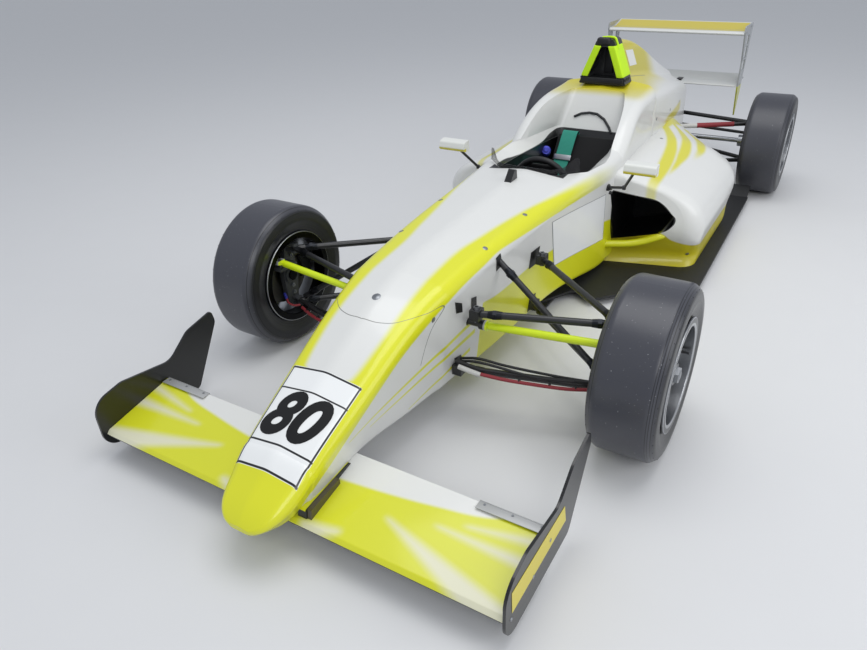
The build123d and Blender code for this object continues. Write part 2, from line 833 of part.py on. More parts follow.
def brake_hoses(wishbones, tub_form):
    """Brake hoses held along the lower front wishbones."""
    points = [spot(*point) for point in hose_route]
    path = FilletPolyline(*points, radius=60)
    section = Plane(origin=points[0], z_dir=points[1] - points[0]) * Circle(hose_radius)
    return both(sweep(section, path=path) - wishbones - tub_form)


os.makedirs("parts", exist_ok=True)
tub_form = body(tub_sections) + body(coaming_sections)
cover_form = loft([cover_face(row) for row in cover_sections])
nose = nose_cone()
wing = front_wing(nose)
cell = survival_cell(tub_form)
chair = seat()
gear = tapered_case(gearbox_ends)
tail = tail_structure()
brackets = front_brackets(tub_form)
arms = front_wishbones(brackets)

save("nose_cone", nose)
save("survival_cell", cell)
save("windscreen", windscreen(tub_form))
save("camera_pod", camera_pod(tub_form))
save("roll_hoop", roll_hoop(tub_form))
save("engine_cover", engine_cover(cover_form))
save_pair("sidepod", sidepod(tub_form, cover_form))
save("radiators", radiators())
save("floor", floor_panel())
save("front_wing", wing)
save("front_wing_endplates", front_wing_endplates())
save("front_wing_brackets", front_wing_brackets(nose, wing))
save("engine", engine())
save("gearbox", gear)
save("exhaust", rod(*exhaust_ends, exhaust_radius))
save("tail_structure", tail)
save("rain_light", rain_light())
save("rear_wing", rear_wing())
save("beam_wing", beam_wing(tail))
save("rear_wing_endplates", rear_wing_endplates())
save("seat", chair)
save("harness", harness(chair))
save("dashboard", dashboard(cell))
save("steering_wheel", steering_wheel())
save("mirrors", mirrors(tub_form))
save("front_brackets", brackets)
save("front_wishbones", arms)
save("front_pushrods", front_pushrods(arms, tub_form))
save("brake_hoses", brake_hoses(arms, tub_form))
save("steering_rack", steering_rack())
save("rear_wishbones", rear_wishbones(gear))
save("driveshafts", driveshafts(gear))
save("rear_uprights", both(rear_upright()))
save("rear_calipers", both(caliper(wheelbase, rear_tyre_radius, rear_disc_start, -caliper_shift)))
save_pair("front_upright", front_upright())
save_pair("front_caliper", caliper(0, front_tyre_radius, front_disc_start, caliper_shift))

# One row for each axle: name, wheel x, s, tyre radius, tyre width, rim half, axle end, disc start
axles = (
    ("front", front_wheel_x, 0, front_tyre_radius, front_tyre_width, front_rim_half, 668, front_disc_start),
    ("rear", rear_wheel_x, wheelbase, rear_tyre_radius, rear_tyre_width, rear_rim_half, 606, rear_disc_start),
)
for end, x, s, radius, width, half, axle_end, disc_start in axles:
    save_pair(f"tyre_{end}", tyre(x, s, radius, width, half))
    save_pair(f"rim_{end}", rim(x, s, radius, half, axle_end))
    save_pair(f"disc_{end}", brake_disc(x, s, radius, disc_start))
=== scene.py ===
"""Looks of the open wheel racing car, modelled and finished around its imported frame."""

import bmesh
import bpy
import logging
import math
from collections.abc import Iterable, Sequence
from dataclasses import dataclass
from enum import Enum
from bmesh.types import BMEdge, BMFace, BMVert
from mathutils import Matrix, Vector
from mathutils.bvhtree import BVHTree
from mathutils.geometry import interpolate_bezier


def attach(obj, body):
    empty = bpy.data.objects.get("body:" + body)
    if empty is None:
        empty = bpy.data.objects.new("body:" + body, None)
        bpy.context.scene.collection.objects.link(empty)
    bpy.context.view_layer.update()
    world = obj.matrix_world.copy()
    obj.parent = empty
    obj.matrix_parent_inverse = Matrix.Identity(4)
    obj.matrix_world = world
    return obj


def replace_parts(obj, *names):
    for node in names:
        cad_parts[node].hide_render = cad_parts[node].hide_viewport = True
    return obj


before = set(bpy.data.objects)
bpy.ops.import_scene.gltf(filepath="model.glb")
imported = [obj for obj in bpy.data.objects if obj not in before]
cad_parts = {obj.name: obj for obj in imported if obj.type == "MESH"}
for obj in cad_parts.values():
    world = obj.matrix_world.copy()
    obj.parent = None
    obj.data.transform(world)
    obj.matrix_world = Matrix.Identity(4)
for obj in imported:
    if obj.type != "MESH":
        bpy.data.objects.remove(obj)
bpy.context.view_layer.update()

log = logging.getLogger("racing_car")
# metres in a millimetre
MM = 0.001
# y of the front axle, and how far the rear axle lies behind it, in millimetres
AXLE_Y = -1169.0
WHEELBASE = 2750.0
# each side of the car with its sign along x
SIDES = (("left", 1), ("right", -1))
# length of one wave of the wave texture at scale 1, in metres
WAVE = 0.314

Socket = bpy.types.NodeSocket
# colour and mask of each coat
Layers = list[tuple[str, Socket]]
Mark = tuple[float, float]
Marks = tuple[Mark, ...]
Stroke = tuple[Mark, Mark, Mark]
Place = tuple[float, float, float]
Line = tuple[Place, ...]
Four = tuple[float, float, float, float]
Block = tuple[Place, Place, float]
Stretches = tuple[tuple[float, float, float, float, int], ...]


def spot(x: float, s: float, z: float) -> Vector:
    """Point in metres from millimetres off the centre, behind the front axle and above the ground."""
    return Vector((x, s + AXLE_Y, z)) * MM


def show(made: bpy.types.Object) -> None:
    """Puts an object into the scene."""
    bpy.context.scene.collection.objects.link(made)


def course(line: Iterable[Place], out: int = 1) -> list[Vector]:
    """Points of a line given in millimetres, on the side of the car that out names."""
    return [spot(out * x, s, z) for x, s, z in line]


def linear(colour: str, alpha: float = 1.0) -> Four:
    """Turns an sRGB hex colour into Blender's linear colour.

    Args:
        colour: Six hex digits, with or without a leading sign.
        alpha: Opacity to carry along.

    Returns:
        Linear red, green, blue and alpha.
    """
    digits = colour.lstrip("#")
    channels = [int(digits[i:i + 2], 16) / 255 for i in (0, 2, 4)]
    return (*[c / 12.92 if c <= 0.04045 else ((c + 0.055) / 1.055) ** 2.4 for c in channels], alpha)


def add_node(tree: bpy.types.NodeTree, kind: str, inputs: dict | None = None, **settings) -> bpy.types.Node:
    """Adds one shader node with its settings and links.

    Args:
        tree: Node tree that takes the node.
        kind: Node type, such as "ShaderNodeMath".
        inputs: Values or output sockets by input name or index.
        settings: Properties of the node.

    Returns:
        The new node.
    """
    node = tree.nodes.new(kind)
    for name, value in settings.items():
        setattr(node, name, value)
    for key, value in (inputs or {}).items():
        if isinstance(value, Socket):
            tree.links.new(value, node.inputs[key])
        else:
            node.inputs[key].default_value = value
    return node


class Airbrush:
    """Paint masks worked out from a point's place on the car, in millimetres.

    x counts from the centre line, the same on both sides, s from the front axle backwards and z
    from the ground. upward is how far the surface faces the sky.
    """

    def __init__(self, tree: bpy.types.NodeTree) -> None:
        """Reads the place of the shaded point.

        Args:
            tree: Node tree of the material.
        """
        self.tree = tree
        coordinates = add_node(tree, "ShaderNodeTexCoord")
        self.point = coordinates.outputs["Object"]
        moved = {0: self.point, 1: (1 / MM,) * 3, 2: (0, -AXLE_Y, 0)}
        local = add_node(tree, "ShaderNodeVectorMath", moved, operation="MULTIPLY_ADD").outputs[0]
        side, self.s, self.z = add_node(tree, "ShaderNodeSeparateXYZ", {0: local}).outputs
        self.x = add_node(tree, "ShaderNodeMath", {0: side}, operation="ABSOLUTE").outputs[0]
        facing = add_node(tree, "ShaderNodeSeparateXYZ", {0: coordinates.outputs["Normal"]})
        self.upward = facing.outputs[2]

    def past(self, value: Socket | float, edge: Socket | float, soft: float = 0.8) -> Socket:
        """Mask that rises from 0 to 1 as a value passes an edge.

        Args:
            value: What is compared.
            edge: Where the mask is a half.
            soft: How far the rise reaches to each side of the edge.

        Returns:
            The mask.
        """
        gap = add_node(self.tree, "ShaderNodeMath", {0: value, 1: edge}, operation="SUBTRACT").outputs[0]
        limits = {0: gap, 1: -soft, 2: soft}
        return add_node(self.tree, "ShaderNodeMapRange", limits, interpolation_type="SMOOTHSTEP").outputs[0]

    def before(self, value: Socket, edge: Socket | float, soft: float = 0.8) -> Socket:
        """Mask that falls from 1 to 0 as a value passes an edge."""
        return self.past(edge, value, soft)

    def inside(self, value: Socket, low: float, high: float, soft: float = 0.8) -> Socket:
        """Mask between two edges."""
        return self.both(self.past(value, low, soft), self.before(value, high, soft))

    def both(self, *masks: Socket | float) -> Socket:
        """Where all the masks are.

        Args:
            masks: Masks, or shares that thin them.

        Returns:
            Their product.
        """
        result = masks[0]
        for mask in masks[1:]:
            pair = {0: result, 1: mask}
            result = add_node(self.tree, "ShaderNodeMath", pair, operation="MULTIPLY").outputs[0]
        return result

    def either(self, *masks: Socket) -> Socket:
        """Where any of the masks is.

        Args:
            masks: The masks.

        Returns:
            The greatest of them at each point.
        """
        result = masks[0]
        for mask in masks[1:]:
            pair = {0: result, 1: mask}
            result = add_node(self.tree, "ShaderNodeMath", pair, operation="MAXIMUM").outputs[0]
        return result

    def outside(self, mask: Socket) -> Socket:
        """Where a mask is not."""
        return add_node(self.tree, "ShaderNodeMath", {0: 1.0, 1: mask}, operation="SUBTRACT").outputs[0]

    def off(self, value: Socket, centre: Socket | float) -> Socket:
        """Distance of a value from a centre."""
        gap = add_node(self.tree, "ShaderNodeMath", {0: value, 1: centre}, operation="SUBTRACT").outputs[0]
        return add_node(self.tree, "ShaderNodeMath", {0: gap}, operation="ABSOLUTE").outputs[0]

    def line(self, value: Socket, centre: Socket | float, half: Socket | float, soft: float = 0.5) -> Socket:
        """Mask of a line or band about a centre."""
        return self.past(half, self.off(value, centre), soft)

    def radius(self, axle: Mark) -> Socket:
        """Distance from an axle.

        Args:
            axle: s and z of the axle.

        Returns:
            Socket with the distance.
        """
        gap = {0: self.off(self.s, axle[0]), 1: self.off(self.z, axle[1])}
        place = add_node(self.tree, "ShaderNodeCombineXYZ", gap).outputs[0]
        return add_node(self.tree, "ShaderNodeVectorMath", {0: place}, operation="LENGTH").outputs["Value"]

    def along(self, value: Socket, marks: Marks) -> Socket:
        """Smooth curve through a few marks, such as a paint edge along the car.

        Args:
            value: Where to read the curve.
            marks: (where, how much) pairs in rising order.

        Returns:
            Socket with the curve's value.
        """
        start, stop = marks[0][0], marks[-1][0]
        bottom = min(much for _, much in marks)
        top = max(much for _, much in marks)
        share = add_node(self.tree, "ShaderNodeMapRange", {0: value, 1: start, 2: stop}).outputs[0]
        curve = add_node(self.tree, "ShaderNodeFloatCurve", {"Value": share})
        scaled = [((at - start) / (stop - start), (much - bottom) / (top - bottom)) for at, much in marks]
        points = curve.mapping.curves[0].points
        points[0].location = scaled[0]
        points[1].location = scaled[-1]
        for at, much in scaled[1:-1]:
            points.new(at, much)
        for point in points:
            point.handle_type = "AUTO_CLAMPED"
        curve.mapping.update()
        spread = {0: curve.outputs[0], 3: bottom, 4: top}
        return add_node(self.tree, "ShaderNodeMapRange", spread).outputs[0]

    def stroke(self, u: Socket, v: Socket, marks: Stroke, soft: float) -> Socket:
        """Tapered straight stroke of paint.

        Args:
            u: First coordinate.
            v: Second coordinate.
            marks: Where it begins, where it fades out, and its half widths there.
            soft: How far its edges fade.

        Returns:
            Mask of the stroke.
        """
        start, end, (broad, narrow) = marks
        run = Vector((end[0] - start[0], end[1] - start[1], 0))
        way = run.normalized()
        place = add_node(self.tree, "ShaderNodeCombineXYZ", {0: u, 1: v}).outputs[0]
        gap = {0: place, 1: (start[0], start[1], 0)}
        local = add_node(self.tree, "ShaderNodeVectorMath", gap, operation="SUBTRACT").outputs[0]
        ahead = {0: local, 1: tuple(way)}
        reach = add_node(self.tree, "ShaderNodeVectorMath", ahead, operation="DOT_PRODUCT").outputs["Value"]
        aside = {0: local, 1: (-way.y, way.x, 0)}
        away = add_node(self.tree, "ShaderNodeVectorMath", aside, operation="DOT_PRODUCT").outputs["Value"]
        taper = {0: reach, 1: 0.0, 2: run.length, 3: broad, 4: narrow}
        half = add_node(self.tree, "ShaderNodeMapRange", taper).outputs[0]
        return self.both(self.line(away, 0.0, half, soft), self.inside(reach, 0, run.length, soft))

    def over(self, under: Socket, colour: str, mask: Socket) -> Socket:
        """Colour laid over another where a mask is."""
        inputs = {0: mask, 6: under, 7: linear(colour)}
        return add_node(self.tree, "ShaderNodeMix", inputs, data_type="RGBA").outputs[2]


@dataclass(frozen=True)
class Finish:
    """A surface finish with one base colour, a soft variation and a fine grain."""

    name: str
    colour: str
    roughness: float = 0.5
    metallic: float = 0.0
    grain_mm: float = 2.0
    grain_depth: float = 0.05
    variation: float = 0.06
    coat: float = 0.0
    coat_roughness: float = 0.06
    cloud_scale: float = 6.0
    cloud_detail: float = 4.0
    grain_detail: float = 2.0

    def zones(self, brush: Airbrush) -> Layers:
        """Colours laid over the base, each with its mask, from the bottom layer up."""
        return []

    def colour_on(self, brush: Airbrush) -> Socket:
        """Base colour, varied softly, with the zones over it.

        Args:
            brush: Its masks.

        Returns:
            Socket with the colour.
        """
        base = linear(self.colour)
        dark = tuple(c * (1 - self.variation) for c in base[:3]) + (1.0,)
        noise = {"Vector": brush.point, "Scale": self.cloud_scale, "Detail": self.cloud_detail}
        cloud = add_node(brush.tree, "ShaderNodeTexNoise", noise).outputs[0]
        shades = {0: cloud, 6: dark, 7: base}
        layer = add_node(brush.tree, "ShaderNodeMix", shades, data_type="RGBA").outputs[2]
        for colour, mask in self.zones(brush):
            layer = brush.over(layer, colour, mask)
        return layer

    def relief_on(self, brush: Airbrush) -> Socket:
        """Fine grain of the surface."""
        noise = {"Vector": brush.point, "Scale": 1.0 / (self.grain_mm * MM), "Detail": self.grain_detail}
        return add_node(brush.tree, "ShaderNodeTexNoise", noise).outputs[0]

    def constants(self) -> dict[str, float]:
        """Values set on the shader's own sockets.

        Returns:
            Values by the name of their socket.
        """
        values = {"Metallic": self.metallic, "Roughness": self.roughness}
        if self.coat:
            values |= {"Coat Weight": self.coat, "Coat Roughness": self.coat_roughness}
        return values

    def build(self) -> bpy.types.Material:
        """Makes the material, or finds the one already made.

        Returns:
            The material.
        """
        existing = bpy.data.materials.get(self.name)
        if existing:
            return existing
        material = bpy.data.materials.new(self.name)
        material.use_nodes = True
        tree = material.node_tree
        tree.nodes.clear()
        brush = Airbrush(tree)
        relief = {"Height": self.relief_on(brush), "Strength": self.grain_depth, "Distance": MM}
        bump = add_node(tree, "ShaderNodeBump", relief).outputs[0]
        inputs = {"Base Color": self.colour_on(brush), "Normal": bump} | self.constants()
        shader = add_node(tree, "ShaderNodeBsdfPrincipled", inputs)
        add_node(tree, "ShaderNodeOutputMaterial", {"Surface": shader.outputs[0]})
        return material


YELLOW = "#DBDC1A"
# deeper golden yellow; on the sidepods' undercut it is painted shade on their yellow band
DEEP_YELLOW = "#CFC325"
WHITE = "#DFDFDB"
PANEL_WHITE = "#EDEEEC"
INK = "#101012"
# black of the bare cockpit well; inside the sidepod inlets it is painted shade
PIT_BLACK = "#0B0B0C"
SEAM_GREY = "#6B6B66"

# Sprayed pearl lacquer under clear coat: pale, sharply mirrored lamps, hardly any grain
PEARL = {"roughness": 0.36, "coat": 0.45, "coat_roughness": 0.09, "grain_depth": 0.02, "variation": 0.04}


@dataclass(frozen=True)
class BodyLacquer(Finish):
    """Pearl lacquer of the nose and the tub with its yellow shoulder bands and side streaks."""

    # upper edge of the shoulder bands as x along s, and their lower edge as z along s
    inner: Marks = (
        (-1012, -60), (-640, -60), (-608, 80), (-525, 93), (-420, 99), (-280, 98), (-94, 98), (109, 121),
        (322, 154), (549, 197), (827, 239), (1000, 262), (1200, 290),
    )
    outer: Marks = (
        (-1012, 60), (-880, 120), (-842, 172), (-756, 224), (-649, 289), (-555, 339), (-468, 381),
        (-338, 430), (-196, 477), (-24, 505), (117, 520), (292, 517), (494, 511), (1000, 503),
    )
    # how much of the bands has faded along s, and where they end, with its soft width
    band_fade: Marks = ((600, 0), (1180, 1))
    band_end: Mark = (1120.0, 60.0)
    # upper edge of the yellow lower side, its start, and its end with a soft width
    low: Marks = ((-6, 364), (117, 352), (362, 360), (532, 354), (800, 330), (1032, 305), (1200, 265))
    low_start: float = -6.0
    low_end: Mark = (1300.0, 20.0)
    # thin streaks on the side of the nose, in s and z
    side_streaks: tuple[Stroke, ...] = (
        ((-40, 322), (-690, 234), (9, 1.5)), ((-40, 270), (-590, 219), (9, 1.0)),
        ((-60, 205), (-400, 160), (8, 1.0)),
    )
    streak_soft: float = 3.0
    # number panel: its ends, its half width there, and how far up its skin faces, with a soft width
    panel_s: Mark = (-894.0, -610.0)
    panel_half: Mark = (107.0, 122.0)
    panel_upward: Mark = (0.25, 0.04)
    # black lines of the panel: inset from its edge, half widths, and the two cross lines
    line_inset: float = 4.0
    side_line: float = 2.4
    end_line: float = 2.6
    number_lines: Marks = ((-677, 2.2), (-828, 2.4))
    # joint of the nose and the tub as s along x, its half width and how low it reaches
    seam: Marks = ((0, -436), (62, -426), (113, -398), (149, -345), (176, -245))
    seam_half: float = 1.1
    seam_lowest: float = 300.0
    # edges and soft widths of the yellow crown behind the cockpit
    crown_z: Mark = (744.0, 20.0)
    crown_s: Mark = (1480.0, 60.0)
    crown_x: Mark = (232.0, 36.0)

    def streaks(self, brush: Airbrush) -> Socket:
        """Thin streaks on the side that run together towards the nose."""
        u, v, soft = brush.s, brush.z, self.streak_soft
        return brush.either(*[brush.stroke(u, v, marks, soft) for marks in self.side_streaks])

    def panel(self, brush: Airbrush) -> tuple[Socket, Socket]:
        """Number panel on the nose.

        Args:
            brush: Its masks.

        Returns:
            Mask of its white field and mask of the black lines on it.
        """
        (low, high), (narrow, wide) = self.panel_s, self.panel_half
        spread = {0: brush.s, 1: low, 2: high, 3: narrow, 4: wide}
        half = add_node(brush.tree, "ShaderNodeMapRange", spread).outputs[0]
        white = brush.both(
            brush.before(brush.x, half), brush.inside(brush.s, low, high),
            brush.past(brush.upward, *self.panel_upward),
        )
        lines = [brush.line(brush.off(brush.x, half), self.line_inset, self.side_line)]
        for end in (low + self.line_inset, high - self.line_inset):
            lines.append(brush.line(brush.s, end, self.end_line))
        lines += [brush.line(brush.s, at, half_line) for at, half_line in self.number_lines]
        return white, brush.both(white, brush.either(*lines))

    def bands(self, brush: Airbrush) -> Socket:
        """Yellow bands along both shoulders.

        Args:
            brush: Its masks.

        Returns:
            Mask of the bands.
        """
        faded = brush.past(brush.along(brush.s, self.band_fade), 0.5, 0.5)
        return brush.both(
            brush.past(brush.x, brush.along(brush.s, self.inner), soft=13),
            brush.past(brush.z, brush.along(brush.s, self.outer), soft=4),
            brush.before(brush.s, *self.band_end), brush.outside(faded),
        )

    def zones(self, brush: Airbrush) -> Layers:
        """Bands, lower side, streaks, crown behind the cockpit, panel and seam.

        Args:
            brush: Its masks.

        Returns:
            Layers, bottom first.
        """
        lower = brush.both(
            brush.before(brush.z, brush.along(brush.s, self.low), soft=5),
            brush.past(brush.s, self.low_start, soft=3), brush.before(brush.s, *self.low_end),
        )
        crown = brush.both(
            brush.past(brush.z, *self.crown_z), brush.past(brush.s, *self.crown_s),
            brush.before(brush.x, *self.crown_x),
        )
        side = brush.both(self.streaks(brush), brush.before(brush.s, self.low_start + 4, soft=3))
        white, lines = self.panel(brush)
        joint = brush.both(
            brush.line(brush.s, brush.along(brush.x, self.seam), self.seam_half),
            brush.before(brush.x, self.seam[-1][0]), brush.past(brush.z, self.seam_lowest),
        )
        return [
            (YELLOW, self.bands(brush)), (YELLOW, lower), (YELLOW, side), (DEEP_YELLOW, crown),
            (PANEL_WHITE, white), (INK, lines), (SEAM_GREY, joint),
        ]


@dataclass(frozen=True)
class CockpitLacquer(BodyLacquer):
    """The same lacquer on the tub, whose well and leg room are bare black laminate."""

    # the well in s, across and in z
    well_s: Mark = (716.0, 1510.0)
    well_half: float = 192.0
    well_z: Mark = (103.5, 545.0)
    # how high the slope round the well is black, as z along s, and how wide, as x along s
    border: Marks = (
        (700, 557), (930, 556), (1010, 550), (1100, 546), (1200, 546), (1400, 572), (1520, 586),
    )
    skin: Marks = ((700, 200), (842, 226), (985, 245), (1190, 236), (1520, 190))
    # the ledge under the windscreen
    ledge_s: Mark = (716.0, 800.0)
    ledge_half: float = 165.0
    ledge_z: Mark = (545.0, 588.0)
    leg_half: float = 142.0
    leg_s: Mark = (-42.0, 762.0)
    leg_z: Mark = (198.0, 502.0)
    # where the side inside the inlet is painted black as the shade in the duct, as s along z, and how far
    mouth: Marks = ((176, 1185), (300, 1130), (440, 1045))
    mouth_end: float = 1560.0
    mouth_z: Mark = (178.0, 436.0)
    mouth_x: float = 225.0

    def zones(self, brush: Airbrush) -> Layers:
        """Outer livery with the black inside over it: the bare well, and painted shade inside the inlet.

        Args:
            brush: Its masks.

        Returns:
            Layers, bottom first.
        """
        length = brush.inside(brush.s, *self.well_s, 1.5)
        deep = brush.both(length, brush.before(brush.x, self.well_half), brush.inside(brush.z, *self.well_z))
        slope = brush.both(
            length, brush.before(brush.x, brush.along(brush.s, self.skin), soft=2),
            brush.past(brush.z, self.well_z[1]),
            brush.before(brush.z, brush.along(brush.s, self.border), soft=1.5),
        )
        ledge = brush.both(
            brush.inside(brush.s, *self.ledge_s, 2), brush.before(brush.x, self.ledge_half, soft=2),
            brush.inside(brush.z, *self.ledge_z),
        )
        legs = brush.both(
            brush.before(brush.x, self.leg_half), brush.inside(brush.s, *self.leg_s),
            brush.inside(brush.z, *self.leg_z),
        )
        # painted shade: the tub's side inside the sidepod inlet goes black
        duct_shade = brush.both(
            brush.past(brush.s, brush.along(brush.z, self.mouth), soft=1.5),
            brush.before(brush.s, self.mouth_end), brush.inside(brush.z, *self.mouth_z),
            brush.past(brush.x, self.mouth_x),
        )
        return super().zones(brush) + [(PIT_BLACK, brush.either(deep, slope, ledge, legs, duct_shade))]


@dataclass(frozen=True)
class PodLacquer(Finish):
    """Pearl lacquer of a sidepod: swooshes on top, yellow below in a deeper tone as painted shade, and
    painted black shade inside the inlet.
    """

    # each swoosh as the x of its centre line and its half width, both along s
    swooshes: tuple[tuple[Marks, Marks], ...] = (
        (((1010, 424), (1300, 410), (1589, 378), (1668, 362), (1794, 322), (1950, 252)),
         ((1010, 16), (1250, 23), (1500, 28), (1950, 22))),
        (((1240, 442), (1505, 438), (1735, 418), (1941, 350), (2080, 262)),
         ((1240, 2), (1480, 13), (1735, 26), (2080, 18))),
        (((1600, 482), (1735, 482), (1880, 462), (1990, 424), (2120, 330)),
         ((1600, 4), (1760, 15), (1900, 24), (2120, 14))),
    )
    swoosh_colour: str = "#D6D022"
    swoosh_lowest: float = 398.0
    swoosh_fade: float = 110.0
    swoosh_soft: float = 10.0
    # upper edge of the yellow undercut, as z along x; its deeper yellow is painted shade under the pod
    low: Marks = ((262, 200), (440, 246), (478, 236), (522, 200), (595, 172), (650, 150), (700, 132))
    # outline of the inlet, as x along z, and the reach of the painted black shade inside it
    inlet: Marks = (
        (170, 250), (176, 274), (200, 357), (225, 438), (243, 482), (275, 518), (310, 533), (345, 509),
        (380, 476), (400, 444), (415, 371), (434, 282), (440, 256),
    )
    inlet_end: float = 1560.0
    inlet_z: Mark = (171.0, 438.0)

    def zones(self, brush: Airbrush) -> Layers:
        """Swooshes, yellow undercut in a deeper tone as painted shade, and the inside of the inlet painted
        black as shade.

        Args:
            brush: Its masks.

        Returns:
            Layers, bottom first.
        """
        top = brush.past(brush.z, self.swoosh_lowest, soft=3)
        masks = []
        for centre, half in self.swooshes:
            width = brush.along(brush.s, half)
            curve = brush.along(brush.s, centre)
            fade = brush.past(brush.s, centre[0][0] + self.swoosh_fade, self.swoosh_fade)
            masks.append(brush.both(brush.line(brush.x, curve, width, self.swoosh_soft), fade, top))
        # yellow band under the pod, in the deeper yellow as painted shade
        low = brush.before(brush.z, brush.along(brush.x, self.low), soft=5)
        # painted shade: the inside of the inlet goes black
        throat_shade = brush.both(
            brush.before(brush.x, brush.along(brush.z, self.inlet), soft=1.2),
            brush.before(brush.s, self.inlet_end), brush.inside(brush.z, *self.inlet_z, 0.6),
        )
        return [(self.swoosh_colour, brush.either(*masks)), (DEEP_YELLOW, low), (PIT_BLACK, throat_shade)]


@dataclass(frozen=True)
class CoverLacquer(Finish):
    """Pearl lacquer of the engine cover with its yellow fin and the swooshes' tails."""

    # lower edge of the yellow fin, as z along s, and where it fades, with its soft width
    fin: Marks = ((1712, 742), (2000, 732), (2400, 690), (2830, 640))
    fin_fade: Mark = (2330.0, 130.0)
    # the swooshes' tails in s, in z and from the centre line out
    tail_s: Mark = (1980.0, 2470.0)
    tail_z: Mark = (505.0, 556.0)
    tail_x: float = 150.0
    # seam along the fin's root, in s and z, and how far off the centre line it begins
    root: Stroke = ((1716, 800), (2080, 748), (1.2, 1.0))
    root_x: float = 20.0

    def zones(self, brush: Airbrush) -> Layers:
        """Fin, tails and the seam along the fin's root.

        Args:
            brush: Its masks.

        Returns:
            Layers, bottom first.
        """
        edge = brush.along(brush.s, self.fin)
        crown = brush.both(brush.past(brush.z, edge, soft=24), brush.before(brush.s, *self.fin_fade))
        tail = brush.both(
            brush.inside(brush.s, *self.tail_s, 60), brush.inside(brush.z, *self.tail_z, 12),
            brush.past(brush.x, self.tail_x, soft=5),
        )
        root = brush.both(brush.stroke(brush.s, brush.z, self.root, 0.5), brush.past(brush.x, self.root_x))
        return [(DEEP_YELLOW, crown), (DEEP_YELLOW, tail), (SEAM_GREY, root)]


@dataclass(frozen=True)
class FrontWingLacquer(Finish):
    """Yellow wing lacquer with white fans from the outer front corners; black below."""

    # front edge of the pale rear, as s along x
    rear_edge: Marks = (
        (0, -738), (128, -730), (292, -714), (419, -696), (520, -679), (593, -652), (650, -622),
    )
    # start, end and half widths of each white ray, in x and s
    rays: tuple[Stroke, ...] = (
        ((730, -922), (300, -781), (44, 2)), ((716, -752), (430, -748), (16, 1)),
        ((716, -682), (500, -718), (11, 1)), ((100, -905), (215, -868), (26, 6)),
    )
    ray_colour: str = "#DFDCCF"
    ray_share: float = 0.82
    ray_soft: float = 17.0
    # how far up the skin faces where the black underside begins, with a soft width
    underside: Mark = (0.22, 0.08)

    def zones(self, brush: Airbrush) -> Layers:
        """White fans, pale rear and black underside.

        Args:
            brush: Its masks.

        Returns:
            Layers, bottom first.
        """
        pale = brush.past(brush.s, brush.along(brush.x, self.rear_edge), soft=7)
        fans = brush.either(*[brush.stroke(brush.x, brush.s, marks, self.ray_soft) for marks in self.rays])
        below = brush.before(brush.upward, *self.underside)
        return [(self.ray_colour, brush.both(fans, self.ray_share)), (WHITE, pale), (INK, below)]


@dataclass(frozen=True)
class BracketFinish(Finish):
    """Blade and rail that carry the front wing: body lacquer on the blade, worn brown rail."""

    blade: Mark = (82.0, 103.0)
    blade_upward: Mark = (0.3, 0.1)
    rail: Mark = (108.5, 0.5)
    rail_colour: str = "#4A4330"

    def zones(self, brush: Airbrush) -> Layers:
        """Yellow top edge of the blade, and the rail beyond it.

        Args:
            brush: Its masks.

        Returns:
            Layers, bottom first.
        """
        blade = brush.inside(brush.x, *self.blade, 1.0)
        top = brush.both(blade, brush.past(brush.upward, *self.blade_upward))
        return [(self.rail_colour, brush.past(brush.x, *self.rail)), (YELLOW, top)]


@dataclass(frozen=True)
class ClearAcrylic(Finish):
    """Tinted sheet that lets the pieces behind it show through."""

    opacity: float = 0.45

    def constants(self) -> dict[str, float]:
        """Shader values with the sheet's opacity."""
        return super().constants() | {"Alpha": self.opacity}


@dataclass(frozen=True)
class RearWingLacquer(Finish):
    """White rear wing with a yellow field on top."""

    field_colour: str = "#CDBB2A"
    field_s: Mark = (2986.0, 3172.0)
    field_half: Mark = (408.0, 4.0)
    field_upward: Mark = (0.2, 0.1)

    def zones(self, brush: Airbrush) -> Layers:
        """Yellow field between the edges of the upper side.

        Args:
            brush: Its masks.

        Returns:
            The field's colour with its mask.
        """
        field_mask = brush.both(
            brush.past(brush.upward, *self.field_upward), brush.inside(brush.s, *self.field_s, 5),
            brush.before(brush.x, *self.field_half),
        )
        return [(self.field_colour, field_mask)]


@dataclass(frozen=True)
class RearPlateLacquer(Finish):
    """Silver grey endplates of the rear wing with yellow tips."""

    tip_colour: str = "#BFC033"
    tip_top: Mark = (548.0, 3.0)

    def zones(self, brush: Airbrush) -> Layers:
        """Yellow tip below the beam wing."""
        return [(self.tip_colour, brush.before(brush.z, *self.tip_top))]


@dataclass(frozen=True)
class MirrorLacquer(Finish):
    """White mirror shells with a yellow lower edge, on black arms."""

    # edges of the yellow part, and the shell's inner and lower ends, with soft widths
    edge_top: Mark = (598.0, 3.0)
    edge_front: Mark = (880.0, 4.0)
    shell_x: Mark = (360.5, 0.5)
    shell_z: Mark = (581.0, 0.6)

    def zones(self, brush: Airbrush) -> Layers:
        """Yellow edge, then all that is arm.

        Args:
            brush: Its masks.

        Returns:
            Layers, bottom first.
        """
        edge = brush.both(
            brush.before(brush.z, *self.edge_top), brush.before(brush.s, *self.edge_front)
        )
        shell = brush.both(brush.past(brush.x, *self.shell_x), brush.past(brush.z, *self.shell_z))
        return [(DEEP_YELLOW, edge), (INK, brush.outside(shell))]


@dataclass(frozen=True)
class RackFinish(Finish):
    """Black steering rack whose track rods wear a fluorescent yellow sleeve."""

    rod_x: float = 232.0
    rod_colour: str = "#A9ABAE"
    sleeve_x: Mark = (238.0, 640.0)
    sleeve_colour: str = "#DDF01A"

    def zones(self, brush: Airbrush) -> Layers:
        """Bright steel rods, and the sleeve over them."""
        sleeve = brush.inside(brush.x, *self.sleeve_x)
        return [(self.rod_colour, brush.past(brush.x, self.rod_x)), (self.sleeve_colour, sleeve)]


